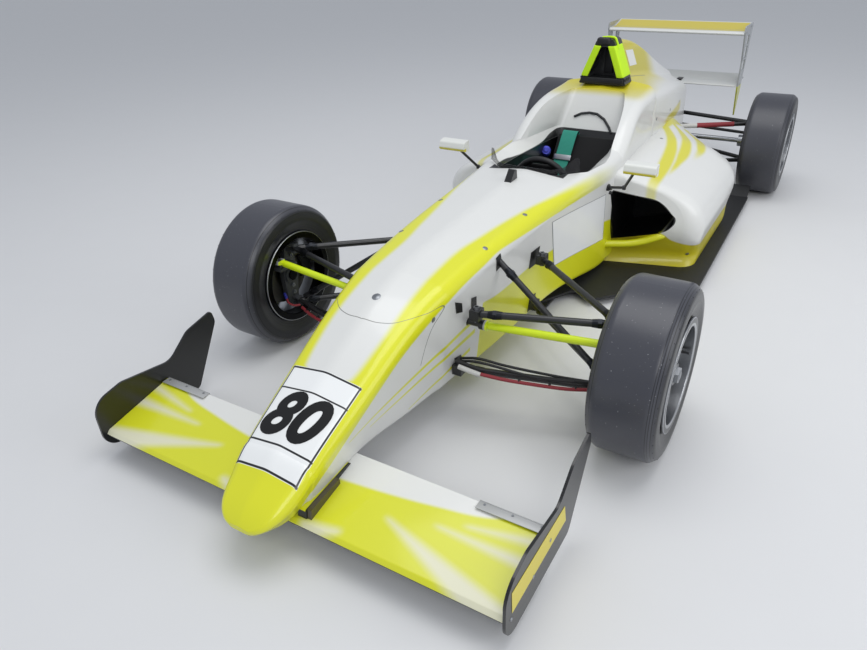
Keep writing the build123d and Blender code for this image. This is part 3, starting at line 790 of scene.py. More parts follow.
@dataclass(frozen=True)
class Laminate(Finish):
    """Bare carbon laminate: twill weave under a thin satin resin, black with a faint check."""

    # the real thread is 2 mm wide, drawn at 4 mm so that it shows
    thread_mm: float = 4.0
    thread_colour: str = "#2C2D30"
    thread_share: float = 0.35

    def zones(self, brush: Airbrush) -> Layers:
        """Lighter threads of the weave.

        Args:
            brush: Its masks.

        Returns:
            The threads' colour with its mask.
        """
        check = {"Vector": brush.point, "Scale": 1.0 / (self.thread_mm * MM)}
        mask = add_node(brush.tree, "ShaderNodeTexChecker", check).outputs["Fac"]
        return [(self.thread_colour, brush.both(mask, self.thread_share))]


@dataclass(frozen=True)
class TyreRubber(Finish):
    """Slick tyre compound: grey black and dusty, with a paler tread as painted sheen, ringed by its mould on
    the sidewall.
    """

    axle: Mark = (0.0, 278.0)
    # radius and half width of the mould rings
    rings: Marks = ((196, 1.4), (206, 0.9), (232, 0.9), (252, 1.6), (258, 0.8))
    ring_colour: str = "#121315"
    tread_radius: float = 262.0
    # paler colour of the tread, a painted sheen of the lamps
    tread_sheen_colour: str = "#414249"
    # moulded lines near the tread's edges, as distances off the centre line
    bands: Marks = ((818, 0.8), (824, 0.8), (831, 1.0), (654, 0.9))
    # specks of grit, about 6 mm apart
    speck_mm: float = 1000 / 170
    speck_level: Mark = (0.735, 0.02)
    speck_colour: str = "#8A8B8E"

    def zones(self, brush: Airbrush) -> Layers:
        """Paler tread as painted sheen, with its grit, and the mould rings.

        Args:
            brush: Its masks.

        Returns:
            Layers, bottom first.
        """
        radius = brush.radius(self.axle)
        noise = {"Vector": brush.point, "Scale": 1.0 / (self.speck_mm * MM), "Detail": 2.0}
        dust = add_node(brush.tree, "ShaderNodeTexNoise", noise).outputs[0]
        tread = brush.past(radius, self.tread_radius, soft=10)
        specks = brush.both(tread, brush.past(dust, *self.speck_level))
        rings = [brush.line(radius, at, half, 0.4) for at, half in self.rings]
        rings += [brush.line(brush.x, at, half, 0.4) for at, half in self.bands]
        return [
            (self.tread_sheen_colour, tread), (self.speck_colour, specks),
            (self.ring_colour, brush.either(*rings)),
        ]

    def relief_on(self, brush: Airbrush) -> Socket:
        """Grain with the mould rings cut into it.

        Args:
            brush: Its masks.

        Returns:
            Socket with the height.
        """
        radius = brush.radius(self.axle)
        grain = super().relief_on(brush)
        rings = brush.either(*[brush.line(radius, at, half, 0.6) for at, half in self.rings])
        cut = {0: grain, 1: rings}
        return add_node(brush.tree, "ShaderNodeMath", cut, operation="SUBTRACT").outputs[0]


@dataclass(frozen=True)
class RimAlloy(Finish):
    """Cast rim: turned bright barrel and lip, darker painted spokes, and painted shade on its inboard side.
    """

    axle: Mark = (0.0, 278.0)
    spoke_radius: float = 150.0
    spoke_colour: str = "#5B5D61"
    flange: Mark = (163.0, 178.0)
    flange_colour: str = "#4C4E52"
    # x inside which the rim is painted near black, as the shade on its inboard side
    inboard: float = 690.0
    inboard_shade_colour: str = "#141517"

    def zones(self, brush: Airbrush) -> Layers:
        """Painted centre, brushed flange and painted shade, near black, on the inboard side.

        Args:
            brush: Its masks.

        Returns:
            Layers, bottom first.
        """
        radius = brush.radius(self.axle)
        # painted shade: the inboard side within the flange goes near black
        inner = brush.both(brush.before(brush.x, self.inboard), brush.before(radius, self.flange[1]))
        return [
            (self.spoke_colour, brush.before(radius, self.spoke_radius)),
            (self.flange_colour, brush.inside(radius, *self.flange)), (self.inboard_shade_colour, inner),
        ]


@dataclass(frozen=True)
class Webbing(Finish):
    """Woven belt webbing: matt, with ribs across it."""

    # the real rib is 1.2 mm, drawn at 3 mm so that it shows
    rib_mm: float = 3.0
    rib_waver: float = 0.3

    def relief_on(self, brush: Airbrush) -> Socket:
        """Ribs of the weave along the belt."""
        wave = {"Vector": brush.point, "Scale": WAVE / (self.rib_mm * MM), "Distortion": self.rib_waver}
        return add_node(brush.tree, "ShaderNodeTexWave", wave, bands_direction="Y").outputs["Fac"]


@dataclass(frozen=True)
class FinnedCore(Finish):
    """Radiator core: rows of thin black fins."""

    fin_mm: float = 6.0
    tube_colour: str = "#2F3033"
    tube_level: Mark = (0.6, 0.2)

    def zones(self, brush: Airbrush) -> Layers:
        """Paler tubes between the fins.

        Args:
            brush: Its masks.

        Returns:
            The tubes' colour with its mask.
        """
        wave = {"Vector": brush.point, "Scale": WAVE / (self.fin_mm * MM)}
        tubes = add_node(brush.tree, "ShaderNodeTexWave", wave, bands_direction="Z").outputs["Fac"]
        return [(self.tube_colour, brush.past(tubes, *self.tube_level))]


# Sprayed body panels: pale lacquer whose clear coat mirrors the lamps, masked yellow on it
BODY = BodyLacquer("pearl_lacquer_nose", WHITE, **PEARL)
TUB = CockpitLacquer("pearl_lacquer_tub", WHITE, **PEARL)
POD = PodLacquer("pearl_lacquer_pod", WHITE, **PEARL)
COVER = CoverLacquer("pearl_lacquer_cover", WHITE, **PEARL)
MIRROR = MirrorLacquer("white_lacquer_mirrors", "#DFE0DA", **PEARL)
# Sprayed wings and lips: flat colour with a soft gleam along the edges
FRONT_WING = FrontWingLacquer("yellow_lacquer_front_wing", "#D8DA22", **PEARL)
REAR_WING = RearWingLacquer("white_lacquer_rear_wing", "#D5D6D2", **PEARL)
REAR_PLATES = RearPlateLacquer("silver_lacquer_endplates", "#9DA0A2", **PEARL)
BEAM = Finish("white_lacquer_beam_wing", "#D5D6D2", **PEARL)
LIP = Finish("yellow_lacquer_lip", YELLOW, **PEARL)
# Lacquered black laminate of the endplates: a deep mirror with bright edges
BLACK_GLOSS = Finish("black_gloss_lacquer", "#0D0E0F", roughness=0.35, coat=0.35, grain_depth=0.01)
# Lacquered black blades: glossy, with yellow overspray on top and brown scuffs on the rail
BRACKET = BracketFinish("wing_bracket_lacquer", "#101112", roughness=0.4, coat=0.3)
# Cured twill under satin resin: near black, the weave seen only where light grazes it
CARBON = Laminate("bare_carbon_laminate", "#17181A", roughness=0.4, coat=0.3, grain_depth=0.03)
# Rolled floor of matt laminate, with a coarse faint check of its weave
FLOOR = Laminate("matt_floor_laminate", "#1F2022", roughness=0.6, grain_depth=0.08, thread_mm=6.0)
# Moulded slick rubber: charcoal, with a dry sheen on the tread, partly painted as a paler tread colour, and
# dull rings on the wall
TYRE_FRONT = TyreRubber("tyre_rubber_front", "#232427", roughness=0.31, grain_depth=0.15, variation=0.12)
TYRE_REAR = TyreRubber(
    "tyre_rubber_rear", "#232427", roughness=0.36, grain_depth=0.15, variation=0.12,
    axle=(WHEELBASE, 286.0), rings=((196, 1.4), (207, 0.9), (238, 0.9), (260, 1.6), (266, 0.8)),
    tread_radius=270.0, bands=((770, 0.8), (776, 0.8), (784, 1.0), (588, 0.9)),
)
# Cast aluminium rim, turned at the lip: bright rings round grey painted spokes
RIM_FRONT = RimAlloy("rim_alloy_front", "#B9BBBE", roughness=0.3, metallic=1.0, grain_depth=0.04)
RIM_REAR = RimAlloy(
    "rim_alloy_rear", "#B9BBBE", roughness=0.3, metallic=1.0, axle=(WHEELBASE, 286.0), inboard=630.0
)
# Machined steel of rod ends and bolts: bright, slightly blue, sharp highlights
STEEL = Finish("machined_steel", "#9B9EA2", roughness=0.38, metallic=1.0, grain_mm=1.0)
# Chemically blackened steel of the rod ends: dark with thin bright edges
BLACK_STEEL = Finish("blackened_steel", "#2B2D31", roughness=0.35, metallic=0.9, grain_mm=1.0)
# Anodised plate with a soft even sheen
SATIN_PLATE = Finish("satin_aluminium_plate", "#BFC0BF", roughness=0.5, metallic=0.6, grain_mm=1.0)
# Sand cast magnesium case: dull grey with a pitted skin
CASTING = Finish("cast_magnesium", "#5E6063", roughness=0.6, metallic=0.7, grain_mm=3.0, grain_depth=0.3)
# Turned cast iron discs: warm grey, with fine marks of the tool and the pads
IRON = Finish("turned_brake_iron", "#6E6C6A", roughness=0.4, metallic=1.0, grain_mm=1.0, grain_depth=0.1)
# Forged and hard anodised aluminium: dark grey with a metal gleam
CALIPER = Finish("anodised_caliper", "#33353A", roughness=0.4, metallic=0.8)
# Shrunk fluorescent plastic over the track rods: brighter than the lacquer, slightly waxy
ROD_YELLOW = Finish("fluorescent_rod_sleeve", "#D6EC12", roughness=0.4, coat=0.3)
# Coated signal cloth over foam: vivid, matt, with a fine cloth grain
SIGNAL = Finish("signal_yellow_cover", "#C6F10E", roughness=0.55, grain_mm=1.5, grain_depth=0.12)
# Black anodised rack tube: dark and glossy between its bright rods
RACK = RackFinish("steering_rack_finish", "#1C1D1F", roughness=0.35, coat=0.4)
# Bent acrylic sheet: a dark tint with a clear reflection
SMOKED = ClearAcrylic("smoked_acrylic", "#17161A", roughness=0.1, grain_depth=0.0)
# Braided hose: black with a fine rough braid that breaks up the light
HOSE = Finish("braided_black_hose", "#1A1A1C", roughness=0.55, grain_mm=1.2, grain_depth=0.3)
# Woven glass sleeve: dusty dark red without a shine
RED_SLEEVE = Finish("red_heat_sleeve", "#8E2B33", roughness=0.6, grain_mm=2.0, grain_depth=0.2)
# Wound cloth tape: dull white with a fine weave
TAPE = Finish("white_cloth_tape", "#C9C8C4", roughness=0.7, grain_mm=1.0, grain_depth=0.2)
# Injection moulded plastic: black with a fine spark grain and a broad soft highlight
MOULDED_BLACK = Finish("moulded_black_plastic", "#161618", roughness=0.5, grain_mm=1.0, grain_depth=0.1)
# Knitted polyester over foam: black, very matt, with a visible pile
SEAT_CLOTH = Finish("black_seat_cloth", "#0F0F11", roughness=0.85, grain_mm=1.5, grain_depth=0.4)
# Woven polyester webbing: teal, matt, with cross ribs
BELT = Webbing("teal_belt_webbing", "#2E9480", roughness=0.75, grain_depth=0.5, variation=0.12)
# Dyed anodised aluminium: strong blue under a metal gleam
BUCKLE_BLUE = Finish("anodised_blue_buckle", "#3B40A6", roughness=0.35, metallic=0.5)
# Extruded rubber: dark grey, dull, slightly dusty
RUBBER_EDGE = Finish("black_rubber_edging", "#2A2B2E", roughness=0.6, grain_depth=0.1)
# Moulded red acrylic with prisms behind: glassy, deep and uneven
RED_LENS = Finish("red_lamp_lens", "#7A1018", roughness=0.12, coat=0.8, grain_mm=4.0, grain_depth=0.3)
# Silvered glass: a clean mirror
MIRROR_GLASS = Finish("silvered_glass", "#C9CED2", roughness=0.03, metallic=1.0, grain_depth=0.0)
# Blank vinyl film: even, with a slight gloss
BLANK_LABEL = Finish("blank_white_label", "#ECEDEC", roughness=0.4, coat=0.3, grain_depth=0.01)
BLANK_STRIP = Finish("blank_yellow_label", "#E0CE2A", roughness=0.4, coat=0.3, grain_depth=0.01)
LABEL_EDGE = Finish("grey_label_film", "#8A8C8E", roughness=0.4, grain_depth=0.01)
# Cut black vinyl film: dense black with a low sheen; it also paints the shade in the beam wing's slots
VINYL_BLACK = Finish("black_vinyl", "#070708", roughness=0.3, grain_depth=0.01)
# Brazed radiator core in black paint: dull, striped by its fins
CORE = FinnedCore("radiator_core", "#0E0E10", roughness=0.6, metallic=0.4)
# Bonded display glass: dark green black with a clear reflection
SCREEN_GLASS = Finish("display_glass", "#1B2A2E", roughness=0.1, coat=0.6, grain_depth=0.0)
# Moulded knobs: saturated plastic with a soft highlight
KNOB_RED = Finish("red_moulded_knob", "#A01E22", roughness=0.4)
KNOB_GREEN = Finish("green_moulded_knob", "#1E7A3C", roughness=0.4)
# Rolled studio floor: matt pale grey, even
STUDIO_FLOOR = Finish("pale_studio_floor", "#D8D8D8", roughness=0.9, variation=0.02)

BY_NODE = {
    "nose_cone": BODY, "survival_cell": TUB, "engine_cover": COVER,
    "mirrors": MIRROR, "beam_wing": BEAM, "front_wing": FRONT_WING, "rear_wing": REAR_WING,
    "rear_wing_endplates": REAR_PLATES, "front_wing_endplates": BLACK_GLOSS,
    "front_wing_brackets": BRACKET, "camera_pod": BLACK_GLOSS, "windscreen": SMOKED,
    "steering_rack": RACK, "floor": FLOOR, "engine": CASTING, "gearbox": CASTING, "exhaust": STEEL,
    "radiators": CORE, "rain_light": RED_LENS, "brake_hoses": HOSE, "seat": SEAT_CLOTH,
    "dashboard": MOULDED_BLACK, "steering_wheel": MOULDED_BLACK, "harness": BELT,
    "driveshafts": STEEL,
}
BY_PREFIX = {
    "tyre_front": TYRE_FRONT, "tyre_rear": TYRE_REAR, "rim_front": RIM_FRONT, "rim_rear": RIM_REAR,
    "disc": IRON, "sidepod": POD, "front_upright": CASTING, "rear_upright": CASTING,
    "front_caliper": CALIPER, "rear_caliper": CALIPER,
}


def dress_nodes() -> None:
    """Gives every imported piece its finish: by name, by the start of its name, or else carbon."""
    for name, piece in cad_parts.items():
        finish = BY_NODE.get(name, CARBON)
        for prefix, shared in BY_PREFIX.items():
            if name.startswith(prefix):
                finish = shared
        piece.data.materials.clear()
        piece.data.materials.append(finish.build())


class Skin:
    """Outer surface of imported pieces, on which labels and fasteners are laid."""

    def __init__(self, *nodes: str) -> None:
        """Reads the surfaces of the pieces with these names."""
        graph = bpy.context.evaluated_depsgraph_get()
        self.trees = [BVHTree.FromObject(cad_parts[name], graph) for name in nodes]

    def meet(self, point: Vector, way: Vector, reach: float = 0.12) -> tuple[Vector, Vector]:
        """Surface point and normal met from outside along a direction.

        Args:
            point: Point near the surface.
            way: Direction into the surface.
            reach: How far outside the search begins, in metres.

        Returns:
            The nearest hit and its normal, or the point itself where nothing is met.
        """
        start = point - way * reach
        hits = [tree.ray_cast(start, way, 2 * reach) for tree in self.trees]
        met = [hit for hit in hits if hit[0] is not None]
        if not met:
            return point, -way
        place, normal, _, _ = min(met, key=lambda hit: hit[3])
        return place, normal if normal.dot(way) < 0 else -normal


def of_kind(parts: Iterable, kind: type) -> list:
    """Those parts of a mesh that are of one kind."""
    return [part for part in parts if isinstance(part, kind)]


class Form:
    """A mesh in the making, in the frame's metres, from bmesh shapes given in millimetres."""

    def __init__(self) -> None:
        """Starts an empty mesh."""
        self.shape = bmesh.new()

    def bar(
        self, start: Vector, end: Vector, radius: float, end_radius: float | None = None, sides: int = 24,
    ) -> None:
        """Round or hexagonal bar, tapered if its ends differ.

        Args:
            start: Middle of one end.
            end: Middle of the other end.
            radius: Radius in millimetres.
            end_radius: Radius at the other end, or none if it is the same.
            sides: How many flats it has.
        """
        run = end - start
        turn = run.to_track_quat("Z", "Y").to_matrix().to_4x4()
        tip = radius if end_radius is None else end_radius
        bmesh.ops.create_cone(
            self.shape, cap_ends=True, segments=sides, radius1=radius * MM, radius2=tip * MM,
            depth=run.length, matrix=Matrix.Translation((start + end) / 2) @ turn,
        )

    def tube(self, path: Sequence[Vector], radius: float, sides: int = 12) -> None:
        """Round tube along a path, mitred at its bends and closed at its ends.

        Args:
            path: Points along its middle.
            radius: Radius in millimetres.
            sides: How many flats it has.
        """
        ways = [(end - start).normalized() for start, end in zip(path, path[1:])]
        turn = ways[0].to_track_quat("Z", "Y").to_matrix().to_4x4()
        ring = bmesh.ops.create_circle(
            self.shape, cap_ends=True, segments=sides, radius=radius * MM,
            matrix=Matrix.Translation(path[0]) @ turn,
        )["verts"]
        face = ring[0].link_faces[0]
        facing = ways[0]
        for index, end in enumerate(path[1:]):
            grown = bmesh.ops.extrude_face_region(self.shape, geom=[face])["geom"]
            verts = of_kind(grown, BMVert)
            face = of_kind(grown, BMFace)[0]
            bmesh.ops.translate(self.shape, verts=verts, vec=end - path[index])
            aim = ways[index] if index + 1 == len(ways) else (ways[index] + ways[index + 1]).normalized()
            lean = facing.rotation_difference(aim).to_matrix()
            bmesh.ops.rotate(self.shape, verts=verts, cent=end, matrix=lean)
            facing = aim

    def block(self, low: Vector, high: Vector, bevel: float, turn: Matrix | None = None) -> None:
        """Block with rounded edges.

        Args:
            low: Its lowest corner.
            high: Its highest corner.
            bevel: Rounding of its edges in millimetres.
            turn: Turn about its middle, or none.
        """
        middle = Matrix.Translation((low + high) / 2) @ (turn.to_4x4() if turn else Matrix())
        stretch = Matrix.Diagonal((*(high - low), 1))
        made = bmesh.ops.create_cube(self.shape, size=1.0, matrix=middle @ stretch)["verts"]
        self.rounded({edge for vert in made for edge in vert.link_edges}, bevel)

    def rounded(self, edges: Iterable[BMEdge], bevel: float) -> None:
        """Rounds some edges.

        Args:
            edges: The edges.
            bevel: How much they are rounded, in millimetres.
        """
        bmesh.ops.bevel(
            self.shape, geom=list(edges), offset=bevel * MM, offset_type="OFFSET", affect="EDGES",
            segments=3, profile=0.5, material=-1,
        )

    def turned(self, profile: Sequence[Mark], centre: Vector, axis: Vector, steps: int = 48) -> None:
        """Shape turned about an axis.

        Args:
            profile: Radius and distance along the axis, point by point.
            centre: Where that distance is 0.
            axis: Direction of the axis.
            steps: How many flats it has.
        """
        way = axis.normalized()
        aside = way.orthogonal().normalized()
        points = [centre + way * (along * MM) + aside * (radius * MM) for radius, along in profile]
        verts = [self.shape.verts.new(point) for point in points]
        edges = [self.shape.edges.new(pair) for pair in zip(verts, verts[1:])]
        bmesh.ops.spin(
            self.shape, geom=verts + edges, cent=centre, axis=way, angle=math.tau, steps=steps,
            use_merge=True,
        )

    def ribbon(self, path: Sequence[Vector], across: Vector, width: float, thick: float) -> None:
        """Flat strap along a path.

        Args:
            path: Points along its middle.
            across: Direction of its width.
            width: Width in millimetres.
            thick: Thickness in millimetres, to the other side if below 0.
        """
        pair = [self.shape.verts.new(path[0] + across * (side * width * MM / 2)) for side in (-1, 1)]
        edge = self.shape.edges.new(pair)
        faces = []
        for before, after in zip(path, path[1:]):
            grown = bmesh.ops.extrude_edge_only(self.shape, edges=[edge])["geom"]
            verts = of_kind(grown, BMVert)
            bmesh.ops.translate(self.shape, verts=verts, vec=after - before)
            edges = of_kind(grown, BMEdge)
            edge = next(part for part in edges if all(vert in verts for vert in part.verts))
            faces += of_kind(grown, BMFace)
        bmesh.ops.solidify(self.shape, geom=faces, thickness=thick * MM)

    def patch(
        self, corners: Sequence[Vector], cells: tuple[int, int], skin: Skin, way: Vector, lift: float,
        thick: float = 0.6,
    ) -> None:
        """Thin label laid on a surface.

        Args:
            corners: Its four corners in turn.
            cells: How many cells it has along two sides.
            skin: Surface it lies on.
            way: Direction into the surface.
            lift: Gap below it in millimetres.
            thick: Thickness in millimetres.
        """
        across, up = cells
        made = bmesh.ops.create_grid(self.shape, x_segments=across, y_segments=up, size=0.5)["verts"]
        first, second, third, fourth = corners
        for vert in made:
            u, v = vert.co.x + 0.5, vert.co.y + 0.5
            vert.co = first.lerp(second, u).lerp(fourth.lerp(third, u), v)
        self.lay(made, skin, way, lift, thick)

    def lay(
        self, sheet: Iterable[BMVert], skin: Skin, way: Vector, lift: float, thick: float,
    ) -> None:
        """Presses a flat sheet onto a surface and gives it a thickness.

        Args:
            sheet: Vertices of the sheet.
            skin: Surface it is pressed on.
            way: Direction into the surface.
            lift: Gap below it in millimetres.
            thick: Thickness in millimetres.
        """
        verts = list(sheet)
        for vert in verts:
            place, normal = skin.meet(vert.co, way)
            vert.co = place + normal * (lift * MM)
        faces = list({face for vert in verts for face in vert.link_faces})
        bmesh.ops.recalc_face_normals(self.shape, faces=faces)
        grown = bmesh.ops.extrude_face_region(self.shape, geom=faces, use_keep_orig=True)["geom"]
        raised = of_kind(grown, BMVert)
        bmesh.ops.translate(self.shape, verts=raised, vec=-way * (thick * MM))

    def piece(
        self, name: str, finish: Finish, body: str = "root", sharp: float = 35.0,
    ) -> bpy.types.Object:
        """Turns the mesh into a finished piece that rides on a body.

        Args:
            name: Name of the piece.
            finish: Its finish.
            body: Body it moves with.
            sharp: Degrees past which an edge stays sharp.

        Returns:
            The new object.
        """
        bmesh.ops.remove_doubles(self.shape, verts=self.shape.verts, dist=1e-6)
        bmesh.ops.recalc_face_normals(self.shape, faces=self.shape.faces)
        mesh = bpy.data.meshes.new(name)
        self.shape.to_mesh(mesh)
        self.shape.free()
        mesh.shade_smooth()
        mesh.set_sharp_from_angle(angle=math.radians(sharp))
        mesh.materials.append(finish.build())
        made = bpy.data.objects.new(name, mesh)
        show(made)
        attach(made, body)
        log.info("%s made, %d faces", name, len(mesh.polygons))
        return made


def shift(x: float, s: float, z: float) -> Vector:
    """Step in metres from millimetres."""
    return Vector((x, s, z)) * MM


def bent(points: Sequence[Vector], steps: int = 6) -> list[Vector]:
    """Follows a smooth curve through a few points.

    Args:
        points: Points that the curve passes.
        steps: How many stretches lie between two of them.

    Returns:
        Points along the curve.
    """
    padded = [2 * points[0] - points[1], *points, 2 * points[-1] - points[-2]]
    path = [points[0]]
    for before, start, end, after in zip(padded, padded[1:], padded[2:], padded[3:]):
        leave, arrive = start + (end - before) / 6, end - (after - start) / 6
        path += interpolate_bezier(start, leave, arrive, end, steps + 1)[1:]
    return path


def between(points: Sequence[Vector], parts: int) -> list[Vector]:
    """Follows straight stretches, each divided into equal parts.

    Args:
        points: Corners of the path.
        parts: How many parts each stretch has.

    Returns:
        Points along the path.
    """
    path = [points[0]]
    for start, end in zip(points, points[1:]):
        path += [start.lerp(end, step / parts) for step in range(1, parts + 1)]
    return path


@dataclass
class NumberPanel:
    """Race number on the nose, cut from black vinyl."""

    text: str = "80"
    height: float = 146.0
    centre: Mark = (-19.0, -753.0)
    slant: float = 0.28
    bold: float = 0.037
    spacing: float = 1.04
    # how much the digits are widened, and lowered to allow for the nose's slope
    stretch: Mark = (0.93, 0.9)
    lift: float = 0.8
    thick: float = 0.5
    # cuts that let the digits bend with the nose: to each side, and their distance
    cuts: int = 12
    cut_step: float = 0.06

    def outline(self) -> bmesh.types.BMesh:
        """Draws the digits flat about the origin, one unit high.

        Returns:
            Their mesh, finely divided.
        """
        curve = bpy.data.curves.new("digits", "FONT")
        curve.body = self.text
        curve.align_x = curve.align_y = "CENTER"
        curve.shear = self.slant
        curve.offset = self.bold
        curve.space_character = self.spacing
        curve.resolution_u = 6
        holder = bpy.data.objects.new("digits", curve)
        show(holder)
        bpy.context.view_layer.update()
        drawn = holder.evaluated_get(bpy.context.evaluated_depsgraph_get())
        flat = bmesh.new()
        flat.from_mesh(bpy.data.meshes.new_from_object(drawn))
        bpy.data.objects.remove(holder)
        bmesh.ops.remove_doubles(flat, verts=flat.verts, dist=1e-5)
        for cut in range(-self.cuts, self.cuts + 1):
            for normal in ((1, 0, 0), (0, 1, 0)):
                spread = Vector(normal) * (cut * self.cut_step)
                parts = flat.verts[:] + flat.edges[:] + flat.faces[:]
                bmesh.ops.bisect_plane(flat, geom=parts, plane_co=spread, plane_no=normal, dist=1e-5)
        return flat

    def build(self) -> None:
        """Lays the digits on the nose."""
        form = Form()
        form.shape.free()
        form.shape = self.outline()
        heights = [vert.co.y for vert in form.shape.verts]
        scale = self.height / (max(heights) - min(heights))
        x, s = self.centre
        wide, tall = self.stretch
        for vert in form.shape.verts:
            vert.co = spot(x + vert.co.x * scale * wide, s + vert.co.y * scale * tall, 320)
        form.lay(form.shape.verts, Skin("nose_cone"), Vector((0, 0, -1)), self.lift, self.thick)
        form.piece("race_number", VINYL_BLACK)


@dataclass
class Labels:
    """Blank labels on the tub's sides, the fin and the front wing's endplates."""

    # s and z corners of each label, and the x that it is pressed on from
    side: Marks = ((482, 488), (992, 446), (1050, 214), (572, 266))
    side_x: float = 240.0
    fin: Marks = ((1812, 908), (1962, 892), (2010, 812), (1862, 826))
    fin_x: float = 40.0
    strip: Marks = ((-884, 186), (-878, 114), (-553, 112), (-570, 176))
    strip_x: float = 707.0
    # share by which the white field stops short of the border's corners
    border_share: float = 0.02

    def build(self) -> None:
        """Lays the labels on the car."""
        tub, fin, plates = Skin("survival_cell"), Skin("engine_cover"), Skin("front_wing_endplates")
        border, white, yellow = Form(), Form(), Form()
        for _, out in SIDES:
            way = Vector((-out, 0, 0))
            corners = [spot(out * self.side_x, s, z) for s, z in self.side]
            middle = sum(corners, Vector()) / 4
            inner = [corner.lerp(middle, self.border_share) for corner in corners]
            on_fin = [spot(out * self.fin_x, s, z) for s, z in self.fin]
            on_plate = [spot(out * self.strip_x, s, z) for s, z in self.strip]
            border.patch(corners, (16, 8), tub, way, lift=0.4, thick=0.3)
            white.patch(inner, (16, 8), tub, way, lift=0.9, thick=0.3)
            white.patch(on_fin, (6, 6), fin, way, lift=0.6, thick=0.4)
            yellow.patch(on_plate, (12, 3), plates, way, lift=0.5, thick=0.4)
        border.piece("side_label_border", LABEL_EDGE)
        white.piece("blank_labels", BLANK_LABEL)
        yellow.piece("endplate_labels", BLANK_STRIP)


@dataclass
class BodyFasteners:
    """Quarter turn fasteners, nose latch and pick-up plates on the bodywork."""

    # node, places near its fasteners and the direction they are pressed in
    discs: tuple[tuple[str, Line, Place], ...] = (
        ("engine_cover", ((232, 1760, 600), (225, 2080, 580), (205, 2400, 560)), (-1, 0, 0)),
        ("engine_cover", ((120, 2700, 640),), (0, 0, -1)),
        ("sidepod_left", ((300, 1260, 520), (300, 1700, 520)), (0, 0, -1)),
        ("sidepod_left", ((630, 1320, 100), (630, 1700, 100)), (-1, 0, 0)),
        ("nose_cone", ((150, -300, 440),), (-1, 0, 0)),
        ("survival_cell", ((165, 40, 580), (175, 330, 600)), (0, 0, -1)),
    )
    disc: Marks = ((0, 1.6), (3, 1.6), (3.4, 1.0), (6.5, 1.0), (9, 0.2), (9, -1.0), (0, -1.0))
    latch: Marks = ((0, 1.2), (6, 1.2), (7, 0.6), (12, 0.8), (14, 0.1), (14, -1), (0, -1))
    latch_place: Place = (0.0, -352.0, 500.0)
    # s and z corners of the black plates round the suspension's pick-up points
    plates: tuple[Marks, ...] = (
        ((54, 506), (84, 512), (88, 462), (62, 456)),
        ((-192, 452), (-150, 430), (-140, 392), (-178, 405)),
        ((-160, 222), (-120, 214), (-92, 146), (-126, 152)),
        ((330, 420), (400, 420), (400, 352), (330, 352)),
        ((-90, 420), (-60, 414), (-40, 318), (-72, 318)),
        ((378, 206), (430, 206), (430, 142), (378, 142)),
    )
    plate_x: float = 190.0

    def build(self) -> None:
        """Sets the fasteners, the plates and the latch."""
        studs, plates, latch = Form(), Form(), Form()
        tub = Skin("survival_cell", "nose_cone")
        for node, places, (across, along, up) in self.discs:
            for side, out in SIDES:
                skin = Skin(node.replace("left", side))
                for point in course(places, out):
                    place, normal = skin.meet(point, Vector((across * out, along, up)))
                    studs.turned(self.disc, place, normal, 20)
        for corners in self.plates:
            for _, out in SIDES:
                quad = [spot(out * self.plate_x, s, z) for s, z in corners]
                plates.patch(quad, (4, 6), tub, Vector((-out, 0, 0)), lift=1.0, thick=1.4)
        studs.piece("quarter_turn_fasteners", STEEL)
        plates.piece("pickup_plates", MOULDED_BLACK)
        place, normal = Skin("nose_cone").meet(spot(*self.latch_place), Vector((0, 0, -1)))
        latch.turned(self.latch, place, normal, 28)
        latch.piece("nose_latch", STEEL)


